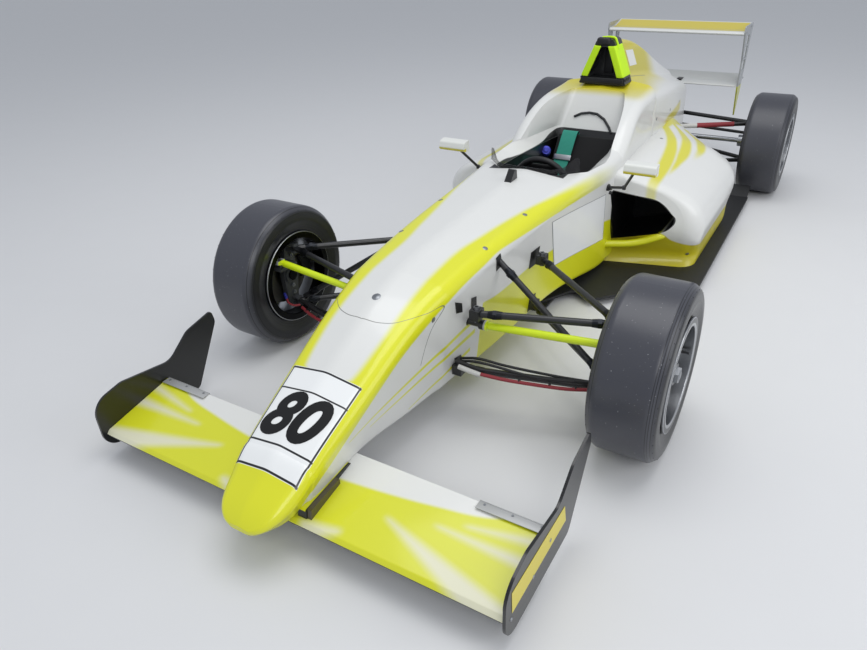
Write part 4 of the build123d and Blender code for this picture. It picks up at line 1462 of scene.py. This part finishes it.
@dataclass
class FrontSuspension:
    """Rod ends, bolts, hoses and sleeves of the front suspension."""

    # outer end, front inner end, rear inner end
    legs: tuple[Line, ...] = (
        ((646, 6, 395), (212, -110, 380), (236, 363, 388)),
        ((660, 0, 165), (172, -155, 186), (196, 400, 172)),
    )
    # lower and upper end
    push_rod: Line = ((622, 0, 192), (190, 85, 487))
    # radius of a rod, and where its inner and its outer machined end begin
    leg_rod: Place = (12.0, 24.0, 26.0)
    push_ends: Place = (11.0, 30.0, 22.0)
    # each stretch of a machined end: from, to, what it adds to the radius at both, and its flats
    end_shape: Stretches = (
        (0, 30, -2.0, 2.5, 24), (30, 42, 5.0, 5.0, 6), (42, 60, 2.5, 1.0, 24),
    )
    # half length and radius of a bolt, where its head begins and ends, and the head's radius
    bolt: Mark = (26.0, 6.0)
    bolt_head: Place = (18.0, 26.0, 10.0)
    track_rod: Line = ((236, -90, 333), (648, -85, 372))
    sleeve_radius: float = 13.0
    sleeve_share: Mark = (0.03, 0.94)
    # red line, tape round its root, then two black hoses, each with its radius
    hoses: tuple[tuple[float, Line], ...] = (
        (6.0, ((240, -180, 204), (330, -160, 195), (420, -130, 187), (520, -92, 179), (588, -60, 178))),
        (8.5, ((186, -186, 214), (215, -184, 209), (262, -178, 200))),
        (4.5, ((172, -160, 216), (232, -160, 232), (300, -148, 228), (420, -118, 208), (540, -72, 200))),
        (4.5, ((172, -146, 220), (242, -146, 238), (330, -126, 226), (470, -82, 208), (585, -44, 198))),
    )
    # where the ties sit on the hoses, their reach inwards and outwards, and their radius
    tie_shares: Place = (0.2, 0.55, 0.85)
    tie: Place = (2.0, 3.0, 8.0)
    knuckle_bolts: Marks = ((0, 232), (0, 324), (10, 360), (2, 200))
    # each stretch of a knuckle bolt: from, to, its radius at both, and its flats
    knuckle_shape: Stretches = (
        (-3, 7, 9.0, 9.0, 6), (7, 13, 4.5, 4.0, 12),
    )
    # short hose from the arm to the brake, and the fitting at its end
    flex: Line = ((600, -58, 186), (612, -78, 190), (620, -96, 206), (622, -104, 232))
    flex_radius: float = 4.0
    fitting: Place = (2.0, -4.0, 22.0)
    fitting_radii: Mark = (6.5, 5.0)

    def rod_end(self, steel: Form, start: Vector, end: Vector, radius: float, clear: float) -> None:
        """Machined end on a rod: tapered collar, lock nut and shank.

        Args:
            steel: Mesh that takes it.
            start: End of the rod.
            end: The rod's other end.
            radius: Radius of the rod.
            clear: How far from the rod's end it begins.
        """
        way = (end - start).normalized()
        root = start + way * (clear * MM)
        for first, last, more, end_more, sides in self.end_shape:
            low, high = root + way * (first * MM), root + way * (last * MM)
            steel.bar(low, high, radius + more, radius + end_more, sides)

    def build(self) -> None:
        """Makes the fittings of both sides."""
        steel, bolts, sleeves = Form(), Form(), Form()
        for _, out in SIDES:
            for leg in self.legs:
                tip, *feet = course(leg, out)
                for foot in feet:
                    radius, inner, outer = self.leg_rod
                    self.rod_end(steel, foot, tip, radius, inner)
                    self.rod_end(steel, tip, foot, radius, outer)
                    self.bolt_through(bolts, foot)
            low, high = course(self.push_rod, out)
            radius, inner, outer = self.push_ends
            self.rod_end(steel, high, low, radius, inner)
            self.rod_end(steel, low, high, radius, outer)
        steel.piece("suspension_rod_ends", BLACK_STEEL)
        bolts.piece("suspension_bolts", STEEL)
        self.lines()
        self.knuckles()
        self.flex_hoses()
        for _, out in SIDES:
            start, end = course(self.track_rod, out)
            first, last = self.sleeve_share
            sleeves.bar(start.lerp(end, first), start.lerp(end, last), self.sleeve_radius)
        sleeves.piece("track_rod_sleeves", ROD_YELLOW, "rack")

    def bolt_through(self, bolts: Form, foot: Vector) -> None:
        """Upright bolt through an arm's inner end, with a head and a nut.

        Args:
            bolts: Mesh that takes it.
            foot: Middle of the arm's end.
        """
        half, radius = self.bolt
        first, last, broad = self.bolt_head
        bolts.bar(foot + shift(0, 0, half), foot - shift(0, 0, half), radius)
        for side in (-1, 1):
            bolts.bar(foot + shift(0, 0, side * first), foot + shift(0, 0, side * last), broad, broad, 6)

    def lines(self) -> None:
        """Red line, arched hoses, tape and ties along the lower arms."""
        red, black, tape, ties = Form(), Form(), Form(), Form()
        inwards, outwards, radius = self.tie
        for _, out in SIDES:
            for form, (thick, line) in zip((red, tape, black, black), self.hoses):
                form.tube(bent(course(line, out)), thick)
            path = course(self.hoses[0][1], out)
            for share in self.tie_shares:
                middle = path[1].lerp(path[-1], share)
                start, end = middle - shift(out * inwards, 0, 0), middle + shift(out * outwards, 0, 0)
                ties.bar(start, end, radius, radius, 16)
        red.piece("red_brake_lines", RED_SLEEVE)
        tape.piece("hose_tape", TAPE)
        black.piece("arched_hoses", HOSE)
        ties.piece("hose_ties", MOULDED_BLACK)

    def knuckles(self) -> None:
        """Bolts on the inner face of both uprights."""
        for side, out in SIDES:
            studs, way = Form(), Vector((out, 0, 0))
            knuckle = Skin(f"front_upright_{side}")
            for s, z in self.knuckle_bolts:
                place, _ = knuckle.meet(spot(out * 650, s, z), way, 0.08)
                for first, last, radius, end_radius, sides in self.knuckle_shape:
                    start, end = place - way * (first * MM), place - way * (last * MM)
                    studs.bar(start, end, radius, end_radius, sides)
            studs.piece(f"knuckle_bolts_{side}", STEEL, f"steer_{side}")

    def flex_hoses(self) -> None:
        """Short hose with its fitting at each upright."""
        across, along, up = self.fitting
        for side, out in SIDES:
            hose, fitting = Form(), Form()
            path = course(self.flex, out)
            hose.tube(bent(path), self.flex_radius)
            hose.piece(f"flex_hose_{side}", RED_SLEEVE, f"steer_{side}")
            fitting.bar(path[-1], path[-1] + shift(out * across, along, up), *self.fitting_radii, 6)
            fitting.piece(f"hose_fitting_{side}", BUCKLE_BLUE, f"steer_{side}")


@dataclass
class WheelFittings:
    """Centre nut, valve and hub ring of one wheel, and ticks on its tyre's shoulders."""

    end: str
    x: float
    s: float
    radius: float
    half_width: float
    # hexagon of the nut: from, to, and its radius at both
    nut: Four = (84.0, 98.0, 29.0, 27.0)
    cap: Marks = ((0, 101), (12, 101), (16, 99), (20, 97), (20, 90), (0, 90))
    hub_ring: Marks = ((34.5, 62), (38, 63), (38, 78), (34.5, 79), (34.5, 62))
    # the valve's distance from the axle, then the ends of its stem and its cap
    valve_s: float = 139.0
    valve_x: Place = (66.0, 88.0, 94.0)
    ticks: int = 36
    # a tick's foot inside the tyre's outline, its length and lean, and its radius
    tick_foot: Mark = (27.0, 5.0)
    tick_run: Mark = (12.0, 3.6)
    tick_radius: float = 1.6

    def build(self) -> None:
        """Makes the fittings of the left and the right wheel."""
        first, last, radius, end_radius = self.nut
        for side, out in SIDES:
            axis = Vector((out, 0, 0))
            hub = spot(out * self.x, self.s, self.radius)
            body = f"wheel_{self.end}_{side}"
            nut, valve = Form(), Form()
            nut.bar(hub + axis * (first * MM), hub + axis * (last * MM), radius, end_radius, 6)
            nut.turned(self.cap, hub, axis, 32)
            nut.turned(self.hub_ring, hub, axis, 48)
            nut.piece(f"wheel_nut_{self.end}_{side}", STEEL, body)
            root, neck, tip = [hub + shift(out * x, self.valve_s, 0) for x in self.valve_x]
            valve.bar(root, neck, 4.5, 3.5)
            valve.bar(neck, tip, 5.0, 4.0)
            valve.piece(f"valve_{self.end}_{side}", RUBBER_EDGE, body)
            self.marks(hub, axis).piece(f"tyre_ticks_{self.end}_{side}", RUBBER_EDGE, body)

    def marks(self, hub: Vector, axis: Vector) -> Form:
        """Small moulded ticks round both shoulders of a tyre.

        Args:
            hub: Middle of the wheel.
            axis: Direction of its axle.

        Returns:
            Mesh with the ticks.
        """
        form = Form()
        inset, edge = self.tick_foot
        length, lean = self.tick_run
        for face in (-1, 1):
            for step in range(self.ticks):
                angle = math.tau * step / self.ticks
                ray = Vector((0, math.cos(angle), math.sin(angle)))
                reach = face * (self.half_width - edge) * MM
                foot = hub + ray * ((self.radius - inset) * MM) + axis * reach
                head = foot + ray * (length * MM) - axis * (face * lean * MM)
                form.bar(foot, head, self.tick_radius, self.tick_radius, 6)
        return form


class PadSide(Enum):
    """Which leg of the roll hoop a pad lies on."""

    LEFT = 1
    RIGHT = -1


@dataclass
class RollHoopTrim:
    """Foam pads in signal covers on the roll hoop, its cap, base band and bolts."""

    front: float = 1606.0
    # outer edge of the left leg seen from the front, in x and z
    leg: tuple[Mark, Mark] = ((42.0, 953.0), (99.0, 812.0))
    pad_width: float = 26.0
    pad_thick: float = 9.5
    # edges past this angle in radians are rounded by this much
    pad_corner: float = 1.2
    pad_bevel: float = 4.0
    wrap_back: float = 1710.0
    fill: float = 0.9
    arc: Line = (
        (-24, 1636, 986), (8, 1636, 989), (36, 1634, 987), (47, 1634, 970), (58, 1636, 942),
    )
    arc_radius: float = 6.0
    # corners and bevel of each block, with s counted from the hoop's front
    cap: Block = ((-43, -9, 952), (26, 24, 990), 13)
    band: Block = ((-106, -9, 780), (106, 3, 808), 4)
    screen: Block = ((-22, 82, 816), (22, 93, 930), 4)
    # s and z of the band's bolts
    band_bolts: Marks = ((1626, 800), (1664, 800))

    def pad_form(self, side: PadSide) -> Form:
        """Pad over the front and the outer flank of a leg, in one piece.

        Args:
            side: Leg that it lies on.

        Returns:
            Mesh of the pad.
        """
        form = Form()
        out = side.value
        top, low = [spot(out * x, self.front, z) for x, z in self.leg]
        leg = (low - top).normalized()
        middle = (top + low) / 2
        reach = (
            shift(-out * self.pad_width, -1, 0), shift(0, -1, 0), shift(out, 3, 0),
            shift(out, self.wrap_back - self.front, 0),
        )
        path = between([middle + step for step in reach], 4)
        form.ribbon(path, leg, (low - top).length / MM, self.pad_thick * out)
        long_edges = [edge for edge in form.shape.edges if edge.calc_length() > 0.1]
        bmesh.ops.subdivide_edges(form.shape, edges=long_edges, cuts=8, use_grid_fill=True)
        bmesh.ops.recalc_face_normals(form.shape, faces=form.shape.faces[:])
        sharp = [edge for edge in form.shape.edges if edge.calc_face_angle(0) > self.pad_corner]
        form.rounded(sharp, self.pad_bevel)
        return form

    def build(self) -> None:
        """Makes the pads and the black parts of the hoop."""
        for side in PadSide:
            pad = self.pad_form(side).piece(f"hoop_pad_{side.name.lower()}", SIGNAL, sharp=60.0)
        cap, arc, band, screen = Form(), Form(), Form(), Form()
        for form, (low, high, bevel) in ((cap, self.cap), (band, self.band), (screen, self.screen)):
            ends = [spot(x, self.front + s, z) for x, s, z in (low, high)]
            form.block(*ends, bevel)
        cap.piece("hoop_cap", MOULDED_BLACK)
        arc.tube(bent(course(self.arc)), self.arc_radius)
        arc.piece("hoop_cap_edge", SIGNAL)
        for _, out in SIDES:
            for s, z in self.band_bolts:
                band.bar(spot(out * 108, s, z), spot(out * 116, s, z - 3), 9, 9, 3)
        band.piece("hoop_base_band", MOULDED_BLACK)
        screen.piece("intake_screen", MOULDED_BLACK)


class WheelFace:
    """Flat face of the steering wheel, square to its column."""

    def __init__(self, centre: Vector, foot: Vector) -> None:
        """Works out the directions of the face.

        Args:
            centre: Middle of the wheel.
            foot: Lower end of its column.
        """
        self.centre = centre
        self.out = (centre - foot).normalized()
        self.up = Vector((0, -self.out.z, self.out.y))
        self.right = Vector((1, 0, 0))

    def at(self, x: float, high: float, deep: float) -> Vector:
        """Point so many millimetres across, up and out of the face."""
        return self.centre + self.right * (x * MM) + self.up * (high * MM) + self.out * (deep * MM)

    def slab(self, form: Form, place: Place, size: Place, bevel: float) -> None:
        """Block square to the face.

        Args:
            form: Mesh that takes it.
            place: Its middle, across, up and out of the face.
            size: Its width, depth and height.
            bevel: Rounding of its edges.
        """
        turn = Matrix((self.right, -self.out, self.up)).transposed()
        half = Vector(size) * (MM / 2)
        middle = self.at(*place)
        form.block(middle - half, middle + half, bevel, turn)


@dataclass
class Cockpit:
    """Seat padding, belts, buckle, dashboard and steering wheel fittings."""

    wheel_centre: Place = (0, 905, 480)
    column_foot: Place = (0, 300, 330)
    # each shoulder belt's x, and the sideways shift, s and z along it; the left one lies folded
    shoulder_belts: tuple[tuple[float, Line], ...] = (
        (-72, ((0, 1446, 566), (0, 1420, 586), (-3, 1398, 560), (-8, 1350, 478), (-18, 1290, 392),
               (-22, 1232, 304), (0, 1180, 216), (20, 1130, 172), (34, 1082, 160))),
        (70, ((14, 1300, 366), (12, 1262, 322), (6, 1215, 250), (0, 1172, 190), (-16, 1130, 166),
              (-34, 1082, 160))),
    )
    shoulder: Mark = (74.0, 2.6)
    # each lower belt's line, direction across, width and number of parts
    low_belts: tuple[tuple[Line, Place, float, int], ...] = (
        (((24, 1062, 164), (80, 1085, 158), (128, 1128, 176)), (0, 1, 0), 50.0, 5),
        (((12, 1040, 160), (26, 985, 148), (30, 930, 146)), (1, 0, 0), 44.0, 4),
    )
    low_thick: float = 2.4
    adjusters: Line = ((-80, 1345, 470), (80, 1290, 360))
    adjuster_lean: float = 54.0
    plate: Marks = ((0, 14), (12, 14), (26, 10), (30, 5), (30, 0), (0, 0))
    plate_place: Place = (0, 1057, 158)
    buckle: Marks = ((0, 20), (9, 20), (13, 17), (20, 16), (24, 10), (24, -14), (0, -14))
    buckle_place: Place = (-158, 1322, 500)
    # s and z along each seat pad, and its thickness
    seat_pads: tuple[tuple[str, Marks, float], ...] = (
        ("seat_pad_back", ((1210, 196), (1300, 330), (1432, 530)), 14),
        ("seat_pad_base", ((890, 148), (1010, 148), (1110, 152)), 12),
    )
    pad_width: float = 214.0
    pad_fill: float = 0.7
    # x and z along the edging behind the seat
    edge_line: Marks = (
        (-93, 632), (-60, 648), (-20, 655), (20, 652), (60, 632), (92, 600), (108, 576),
    )
    edge_s: float = 1480.0
    edge_radius: float = 6.0
    # place, size and bevel of the blocks on the wheel's face
    case: tuple[Block, ...] = (
        ((0, 0, 18), (108, 14, 62), 5.0), ((0, 62, 4), (146, 12, 62), 5.0),
        ((70, -10, -8), (52, 4, 34), 1.5), ((-70, -10, -8), (52, 4, 34), 1.5),
    )
    display: Block = ((0, 8, 25.5), (70, 2, 32), 0.8)
    knob: Marks = ((0, 9), (5, 9), (6.5, 7.5), (7, 0), (0, 0))
    red_knobs: Marks = ((-44, 20), (44, -20))
    green_knobs: Marks = ((44, 20), (-44, -20))
    # the grips' ribs to each side, their angle, then distance off the hub, half length, radius
    grip_ribs: int = 5
    grip_step: float = 7.0
    grip: Place = (118.0, 5.5, 15.4)
    dial: Marks = ((0, 5), (22, 5), (26, 9), (30, 9), (32, 0), (0, 0))
    dial_place: Place = (-110, 768, 500)
    # first of the switches, how many there are and how far apart
    switch_place: Place = (70, 768, 505)
    switches: int = 5
    switch_step: float = 22.0

    def belts(self) -> None:
        """Shoulder, lap and leg belts of one webbing, in place of the plain harness."""
        web, metal, plate, buckle = Form(), Form(), Form(), Form()
        for x, line in self.shoulder_belts:
            path = bent([spot(x + aside, s, z) for aside, s, z in line])
            web.ribbon(path, Vector((1, 0, 0)), *self.shoulder)
        for _, out in SIDES:
            for line, across, width, parts in self.low_belts:
                web.ribbon(between(course(line, out), parts), Vector(across), width, self.low_thick)
        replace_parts(web.piece("belt_webbing", BELT), "harness")
        lean = Matrix.Rotation(math.radians(self.adjuster_lean), 3, "X")
        for x, s, z in self.adjusters:
            metal.block(spot(x - 44, s - 14, z - 4), spot(x + 44, s + 14, z + 8), 3, lean)
        metal.piece("belt_adjusters", STEEL)
        plate.turned(self.plate, spot(*self.plate_place), Vector((0, -0.1, 1)))
        plate.piece("lap_plate", STEEL)
        buckle.turned(self.buckle, spot(*self.buckle_place), Vector((0.35, -0.75, 0.55)))
        buckle.piece("belt_buckle", BUCKLE_BLUE)

    def pads(self) -> None:
        """Cloth covered foam of the seat's back and thighs."""
        for name, line, thick in self.seat_pads:
            form = Form()
            path = between([spot(0, s, z) for s, z in line], 8)
            form.ribbon(path, Vector((1, 0, 0)), self.pad_width, thick)
            edges = [edge for edge in form.shape.edges if edge.calc_length() > self.pad_width * MM * 0.9]
            bmesh.ops.subdivide_edges(form.shape, edges=edges, cuts=6, use_grid_fill=True)
            pad = form.piece(name, SEAT_CLOTH)
            rounding = pad.modifiers.new("rounding", "SUBSURF")
            rounding.levels = rounding.render_levels = 2

    def edging(self) -> None:
        """Rubber arc on the wall behind the seat."""
        rim = Form()
        wall = Skin("survival_cell")
        hits = [wall.meet(spot(x, self.edge_s, z), Vector((0, 1, 0)), 0.1) for x, z in self.edge_line]
        path = [place + normal * (4 * MM) for place, normal in hits]
        for start, end in zip(path, path[1:]):
            rim.bar(start, end, self.edge_radius, self.edge_radius, 12)
        rim.piece("head_edging", RUBBER_EDGE)

    def wheel(self) -> None:
        """Display, knobs and grips of the steering wheel."""
        face = WheelFace(spot(*self.wheel_centre), spot(*self.column_foot))
        case, display, grips = Form(), Form(), Form()
        for place, size, bevel in self.case:
            face.slab(case, place, size, bevel)
        case.piece("wheel_display_case", MOULDED_BLACK, "hand_wheel")
        face.slab(display, *self.display)
        display.piece("wheel_display", SCREEN_GLASS, "hand_wheel")
        rows = (("red", KNOB_RED, self.red_knobs), ("green", KNOB_GREEN, self.green_knobs))
        for label, finish, places in rows:
            knobs = Form()
            for x, high in places:
                knobs.turned(self.knob, face.at(x, high, 24), face.out, 20)
            knobs.piece(f"wheel_knobs_{label}", finish, "hand_wheel")
        distance, half, radius = self.grip
        for _, out in SIDES:
            for step in range(-self.grip_ribs, self.grip_ribs + 1):
                angle = math.radians(step * self.grip_step)
                ray = face.right * (out * math.cos(angle)) + face.up * math.sin(angle)
                tangent = face.up * math.cos(angle) - face.right * (out * math.sin(angle))
                middle = face.centre + ray * (distance * MM)
                end = tangent * (half * MM)
                grips.bar(middle - end, middle + end, radius, radius, 20)
        grips.piece("wheel_grips", RUBBER_EDGE, "hand_wheel")

    def dash(self) -> None:
        """Switches and a blank dial on the dashboard."""
        dial, switches = Form(), Form()
        dial.turned(self.dial, spot(*self.dial_place), Vector((0, 1, 0)), 40)
        dial.piece("dash_dial", MOULDED_BLACK)
        for step in range(self.switches):
            root = spot(*self.switch_place) + shift(step * self.switch_step, 0, 0)
            neck, tip = root + shift(0, 6, 0), root + shift(0, 20, 8)
            switches.bar(root, neck, 6, 6, 6)
            switches.bar(neck, tip, 2.2, 3.2, 12)
        switches.piece("dash_switches", STEEL)

    def build(self) -> None:
        """Makes everything in the cockpit."""
        self.belts()
        self.pads()
        self.edging()
        self.wheel()
        self.dash()


@dataclass
class PodTrim:
    """Rounded lip under each sidepod's inlet."""

    line: Line = (
        (238, 1114, 165), (345, 1150, 174), (412, 1172, 192), (462, 1184, 216), (484, 1202, 224),
        (500, 1240, 226),
    )
    radius: float = 17.0

    def build(self) -> None:
        """Makes both lips."""
        lips = Form()
        for _, out in SIDES:
            lips.tube(bent(course(self.line, out)), self.radius, 20)
        lips.piece("inlet_lips", LIP)


@dataclass
class RearSuspensionTrim:
    """Heat sleeves and tape on the rear upper arms."""

    arm: Line = ((128, 2560, 372), (596, 2756, 395))
    # where the tape begins, the sleeve follows and that ends, and their radii
    shares: Place = (0.10, 0.34, 0.76)
    radii: Mark = (14.0, 14.5)

    def build(self) -> None:
        """Makes the sleeves of both sides."""
        red, pale = Form(), Form()
        for _, out in SIDES:
            start, end = course(self.arm, out)
            first, second, third = [start.lerp(end, share) for share in self.shares]
            pale.bar(first, second, self.radii[0])
            red.bar(second, third, self.radii[1])
        red.piece("rear_arm_sleeves", RED_SLEEVE)
        pale.piece("rear_arm_tape", TAPE)


@dataclass
class MirrorTrim:
    """Glasses of the mirrors and the clamps of their arms."""

    glass_x: Mark = (370.0, 482.0)
    glass_s: Mark = (907.0, 909.5)
    glass_z: Mark = (587.0, 627.0)
    glass_bevel: float = 0.8
    clamp: Place = (262.0, 1000.0, 474.0)

    def build(self) -> None:
        """Makes both mirrors' trim."""
        glass, clamp = Form(), Form()
        tub = Skin("survival_cell")
        for _, out in SIDES:
            low, high = sorted(out * x for x in self.glass_x)
            corners = [spot(*place) for place in zip((low, high), self.glass_s, self.glass_z)]
            glass.block(*corners, self.glass_bevel)
            x, s, z = self.clamp
            place, normal = tub.meet(spot(out * x, s, z), Vector((-out, 0, 0)))
            step = normal * MM
            clamp.bar(place - step * 4, place + step * 8, 16, 14, 20)
            clamp.bar(place + step * 8, place + step * 20, 9, 8, 16)
            clamp.bar(place + shift(0, 30, -30), place + shift(0, 36, -36) + step * 8, 8, 7, 16)
        glass.piece("mirror_glasses", MIRROR_GLASS)
        clamp.piece("mirror_clamps", MOULDED_BLACK)


@dataclass
class WingTrim:
    """Trailing edge strips and screws of the wings, and black blocks in the beam wing's slots as painted
    shade.
    """

    strip_x: Mark = (500.0, 694.0)
    # s and z of two corners of each strip on the trailing edge
    strips: tuple[tuple[Mark, Mark], ...] = (
        ((-664.0, 151.0), (-634.0, 153.5)), ((-636.5, 148.0), (-634.0, 155.0)),
    )
    strip_screws: Line = ((518, -644, 153), (598, -644, 153), (678, -644, 153))
    front_screws: Line = ((707, -880, 96), (707, -760, 112), (707, -660, 140))
    rear_screws: Line = ((424, 2990, 868), (424, 3140, 888), (424, 3060, 556), (424, 3160, 580))
    # ends of a black block that paints the shade inside a slot of the beam wing
    slot: Line = ((34, 3048, 556), (66, 3132, 568))

    def build(self) -> None:
        """Makes the trim of the front and the rear wing."""
        strips, screws, slot_shades = Form(), Form(), Form()
        for _, out in SIDES:
            low_x, high_x = sorted(out * x for x in self.strip_x)
            for low, high in self.strips:
                strips.block(spot(low_x, *low), spot(high_x, *high), 0.8)
            for at in course(self.strip_screws, out):
                screws.bar(at, at + shift(0, 0, 2), 4, 3.5, 16)
            for at in course(self.front_screws + self.rear_screws, out):
                screws.bar(at - shift(out, 0, 0), at + shift(out * 2, 0, 0), 6, 5, 16)
            # painted shade: a black block where the beam wing is slotted
            (low_x, *low), (high_x, *high) = self.slot
            ends = sorted((out * low_x, out * high_x))
            slot_shades.block(spot(ends[0], *low), spot(ends[1], *high), 1.0)
        strips.piece("wing_edge_strips", SATIN_PLATE)
        screws.piece("wing_screws", STEEL)
        slot_shades.piece("beam_wing_slots", VINYL_BLACK)


@dataclass
class TailDetails:
    """Ribs and bolts of the gearbox, exhaust rim and lens of the rain light."""

    ribs: int = 6
    # the first rib's s, half width, lower and upper end, and what each gains from rib to rib
    rib: Four = (2340.0, 128.0, 150.0, 402.0)
    rib_step: Four = (110.0, -9.0, 12.0, 3.0)
    rib_half: float = 4.0
    # s and half width of the gearbox at its two flanges
    flanges: Marks = ((2296, 131), (3030, 84))
    flange_bolts: int = 8
    # z of the lowest bolt and how far apart they are
    bolt_z: Mark = (170.0, 30.0)
    pipe_rim: Marks = ((21, 0), (27.5, 0), (28.5, 3), (28.5, 26), (26.5, 30), (21, 6), (21, 0))
    pipe: Place = (-88, 2904, 462)
    prism: Marks = ((0, 2.4), (3, 2.0), (5.2, 0.4), (5.2, -1), (0, -1))
    # first prism of the lamp, their numbers across and up, and their distance
    lamp: Place = (-28, 3349, 292)
    prisms: tuple[int, int] = (5, 6)
    prism_step: float = 14.0

    def build(self) -> None:
        """Makes the details behind the engine."""
        ribs, bolts, rim, lens = Form(), Form(), Form(), Form()
        aft = Vector((0, 1, 0))
        for step in range(self.ribs):
            s, half, low, high = [start + step * more for start, more in zip(self.rib, self.rib_step)]
            ribs.block(spot(-half, s - self.rib_half, low), spot(half, s + self.rib_half, high), 2)
        ribs.piece("gearbox_ribs", CASTING)
        for s, half in self.flanges:
            for step in range(self.flange_bolts):
                for _, out in reversed(SIDES):
                    at = spot(out * (half - 2), s, self.bolt_z[0] + step * self.bolt_z[1])
                    bolts.bar(at, at + shift(out * 10, 0, 0), 6, 6, 6)
        bolts.piece("gearbox_bolts", STEEL)
        rim.turned(self.pipe_rim, spot(*self.pipe), aft)
        rim.piece("exhaust_rim", STEEL)
        for column in range(self.prisms[0]):
            for row in range(self.prisms[1]):
                away = shift(column * self.prism_step, 0, row * self.prism_step)
                lens.turned(self.prism, spot(*self.lamp) + away, aft, 12)
        lens.piece("rain_light_lenses", RED_LENS)


@dataclass
class Studio:
    """Camera at the photograph's viewpoint, pale floor and soft lights."""

    # metres, degrees, and millimetres for the lens and the sensor
    eye: Place = (1.110, -2.990, 1.445)
    yaw: float = -31.82
    pitch: float = -29.74
    roll: float = -1.87
    lens: float = 28.48
    sensor: float = 36.0
    clip: Mark = (0.05, 200.0)
    floor_size: float = 60.0
    backdrop: str = "#B2B6BE"
    # linear colour and strength of the light from all round
    sky: Four = (0.86, 0.91, 1.0, 1.0)
    sky_strength: float = 0.6
    aim: Place = (0.0, 0.0, 0.4)
    # name, place, size in metres and power in watts of each lamp
    lamps: tuple[tuple[str, Place, float, float], ...] = (
        ("ceiling_light", (0.5, -0.5, 5.5), 4.0, 130), ("front_light", (3.0, -5.0, 4.0), 2.5, 65),
        ("side_light", (5.0, -0.5, 2.2), 3.0, 55),
    )

    def axes(self) -> tuple[Vector, Vector, Vector]:
        """Works out which way the camera faces.

        Returns:
            Its right, up and forward directions.
        """
        yaw, pitch, roll = (math.radians(angle) for angle in (self.yaw, self.pitch, self.roll))
        flat = math.cos(pitch)
        forward = Vector((math.sin(yaw) * flat, math.cos(yaw) * flat, math.sin(pitch)))
        right = forward.cross(Vector((0, 0, 1))).normalized()
        up = right.cross(forward)
        turned_right = right * math.cos(roll) + up * math.sin(roll)
        turned_up = up * math.cos(roll) - right * math.sin(roll)
        return turned_right, turned_up, forward

    def camera(self) -> None:
        """Places the camera."""
        data = bpy.data.cameras.new("camera")
        data.lens = self.lens
        data.sensor_fit = "HORIZONTAL"
        data.sensor_width = self.sensor
        data.clip_start, data.clip_end = self.clip
        right, up, forward = self.axes()
        placed = bpy.data.objects.new("camera", data)
        turn = Matrix((right, up, -forward)).transposed()
        placed.matrix_world = Matrix.Translation(self.eye) @ turn.to_4x4()
        show(placed)
        bpy.context.scene.camera = placed

    def floor(self) -> None:
        """Lays the plain pale floor."""
        shape = bmesh.new()
        bmesh.ops.create_grid(shape, x_segments=1, y_segments=1, size=self.floor_size / 2)
        mesh = bpy.data.meshes.new("floor_sheet")
        shape.to_mesh(mesh)
        shape.free()
        laid = bpy.data.objects.new("studio_floor", mesh)
        show(laid)
        mesh.materials.append(STUDIO_FLOOR.build())

    def lamp(self, name: str, place: Vector, size: float, power: float) -> None:
        """Hangs one square area light that faces the car.

        Args:
            name: Name of the light.
            place: Where it hangs.
            size: Side of the square in metres.
            power: Strength in watts.
        """
        data = bpy.data.lights.new(name, "AREA")
        data.size = size
        data.energy = power
        hung = bpy.data.objects.new(name, data)
        hung.location = place
        hung.rotation_euler = (Vector(self.aim) - place).to_track_quat("-Z", "Y").to_euler()
        show(hung)

    def world(self) -> None:
        """Light from all round, seen as a plain backdrop."""
        world = bpy.data.worlds.new("studio")
        world.use_nodes = True
        tree = world.node_tree
        tree.nodes.clear()
        rays = add_node(tree, "ShaderNodeLightPath").outputs
        seen = rays["Is Camera Ray"]
        for kind in ("Is Glossy Ray", "Is Transmission Ray"):
            both = {0: seen, 1: rays[kind]}
            seen = add_node(tree, "ShaderNodeMath", both, operation="MAXIMUM").outputs[0]
        light = {"Color": self.sky, "Strength": self.sky_strength}
        sky = add_node(tree, "ShaderNodeBackground", light).outputs[0]
        plain = {"Color": linear(self.backdrop), "Strength": 1.0}
        backdrop = add_node(tree, "ShaderNodeBackground", plain).outputs[0]
        mixed = add_node(tree, "ShaderNodeMixShader", {0: seen, 1: sky, 2: backdrop}).outputs[0]
        add_node(tree, "ShaderNodeOutputWorld", {"Surface": mixed})
        bpy.context.scene.world = world

    def build(self) -> None:
        """Sets the whole studio up."""
        bpy.context.scene.view_settings.view_transform = "Standard"
        self.world()
        self.camera()
        self.floor()
        for name, place, size, power in self.lamps:
            self.lamp(name, Vector(place), size, power)


def main() -> None:
    """Builds the car's looks piece by piece."""
    for name in ("Cube", "Light", "Camera"):
        if name in bpy.data.objects:
            bpy.data.objects.remove(bpy.data.objects[name])
    Studio().build()
    dress_nodes()
    bpy.context.view_layer.update()
    parts = (
        NumberPanel(), Labels(), BodyFasteners(), FrontSuspension(),
        WheelFittings("front", x=740.0, s=0.0, radius=278.0, half_width=105.0),
        WheelFittings("rear", x=682.5, s=WHEELBASE, radius=286.0, half_width=114.0),
        RollHoopTrim(), Cockpit(), PodTrim(), RearSuspensionTrim(), MirrorTrim(), WingTrim(),
        TailDetails(),
    )
    for part in parts:
        part.build()
        log.info("%s built", type(part).__name__)


if __name__ == "__main__":
    logging.basicConfig(level=logging.INFO, format="%(message)s")
    main()
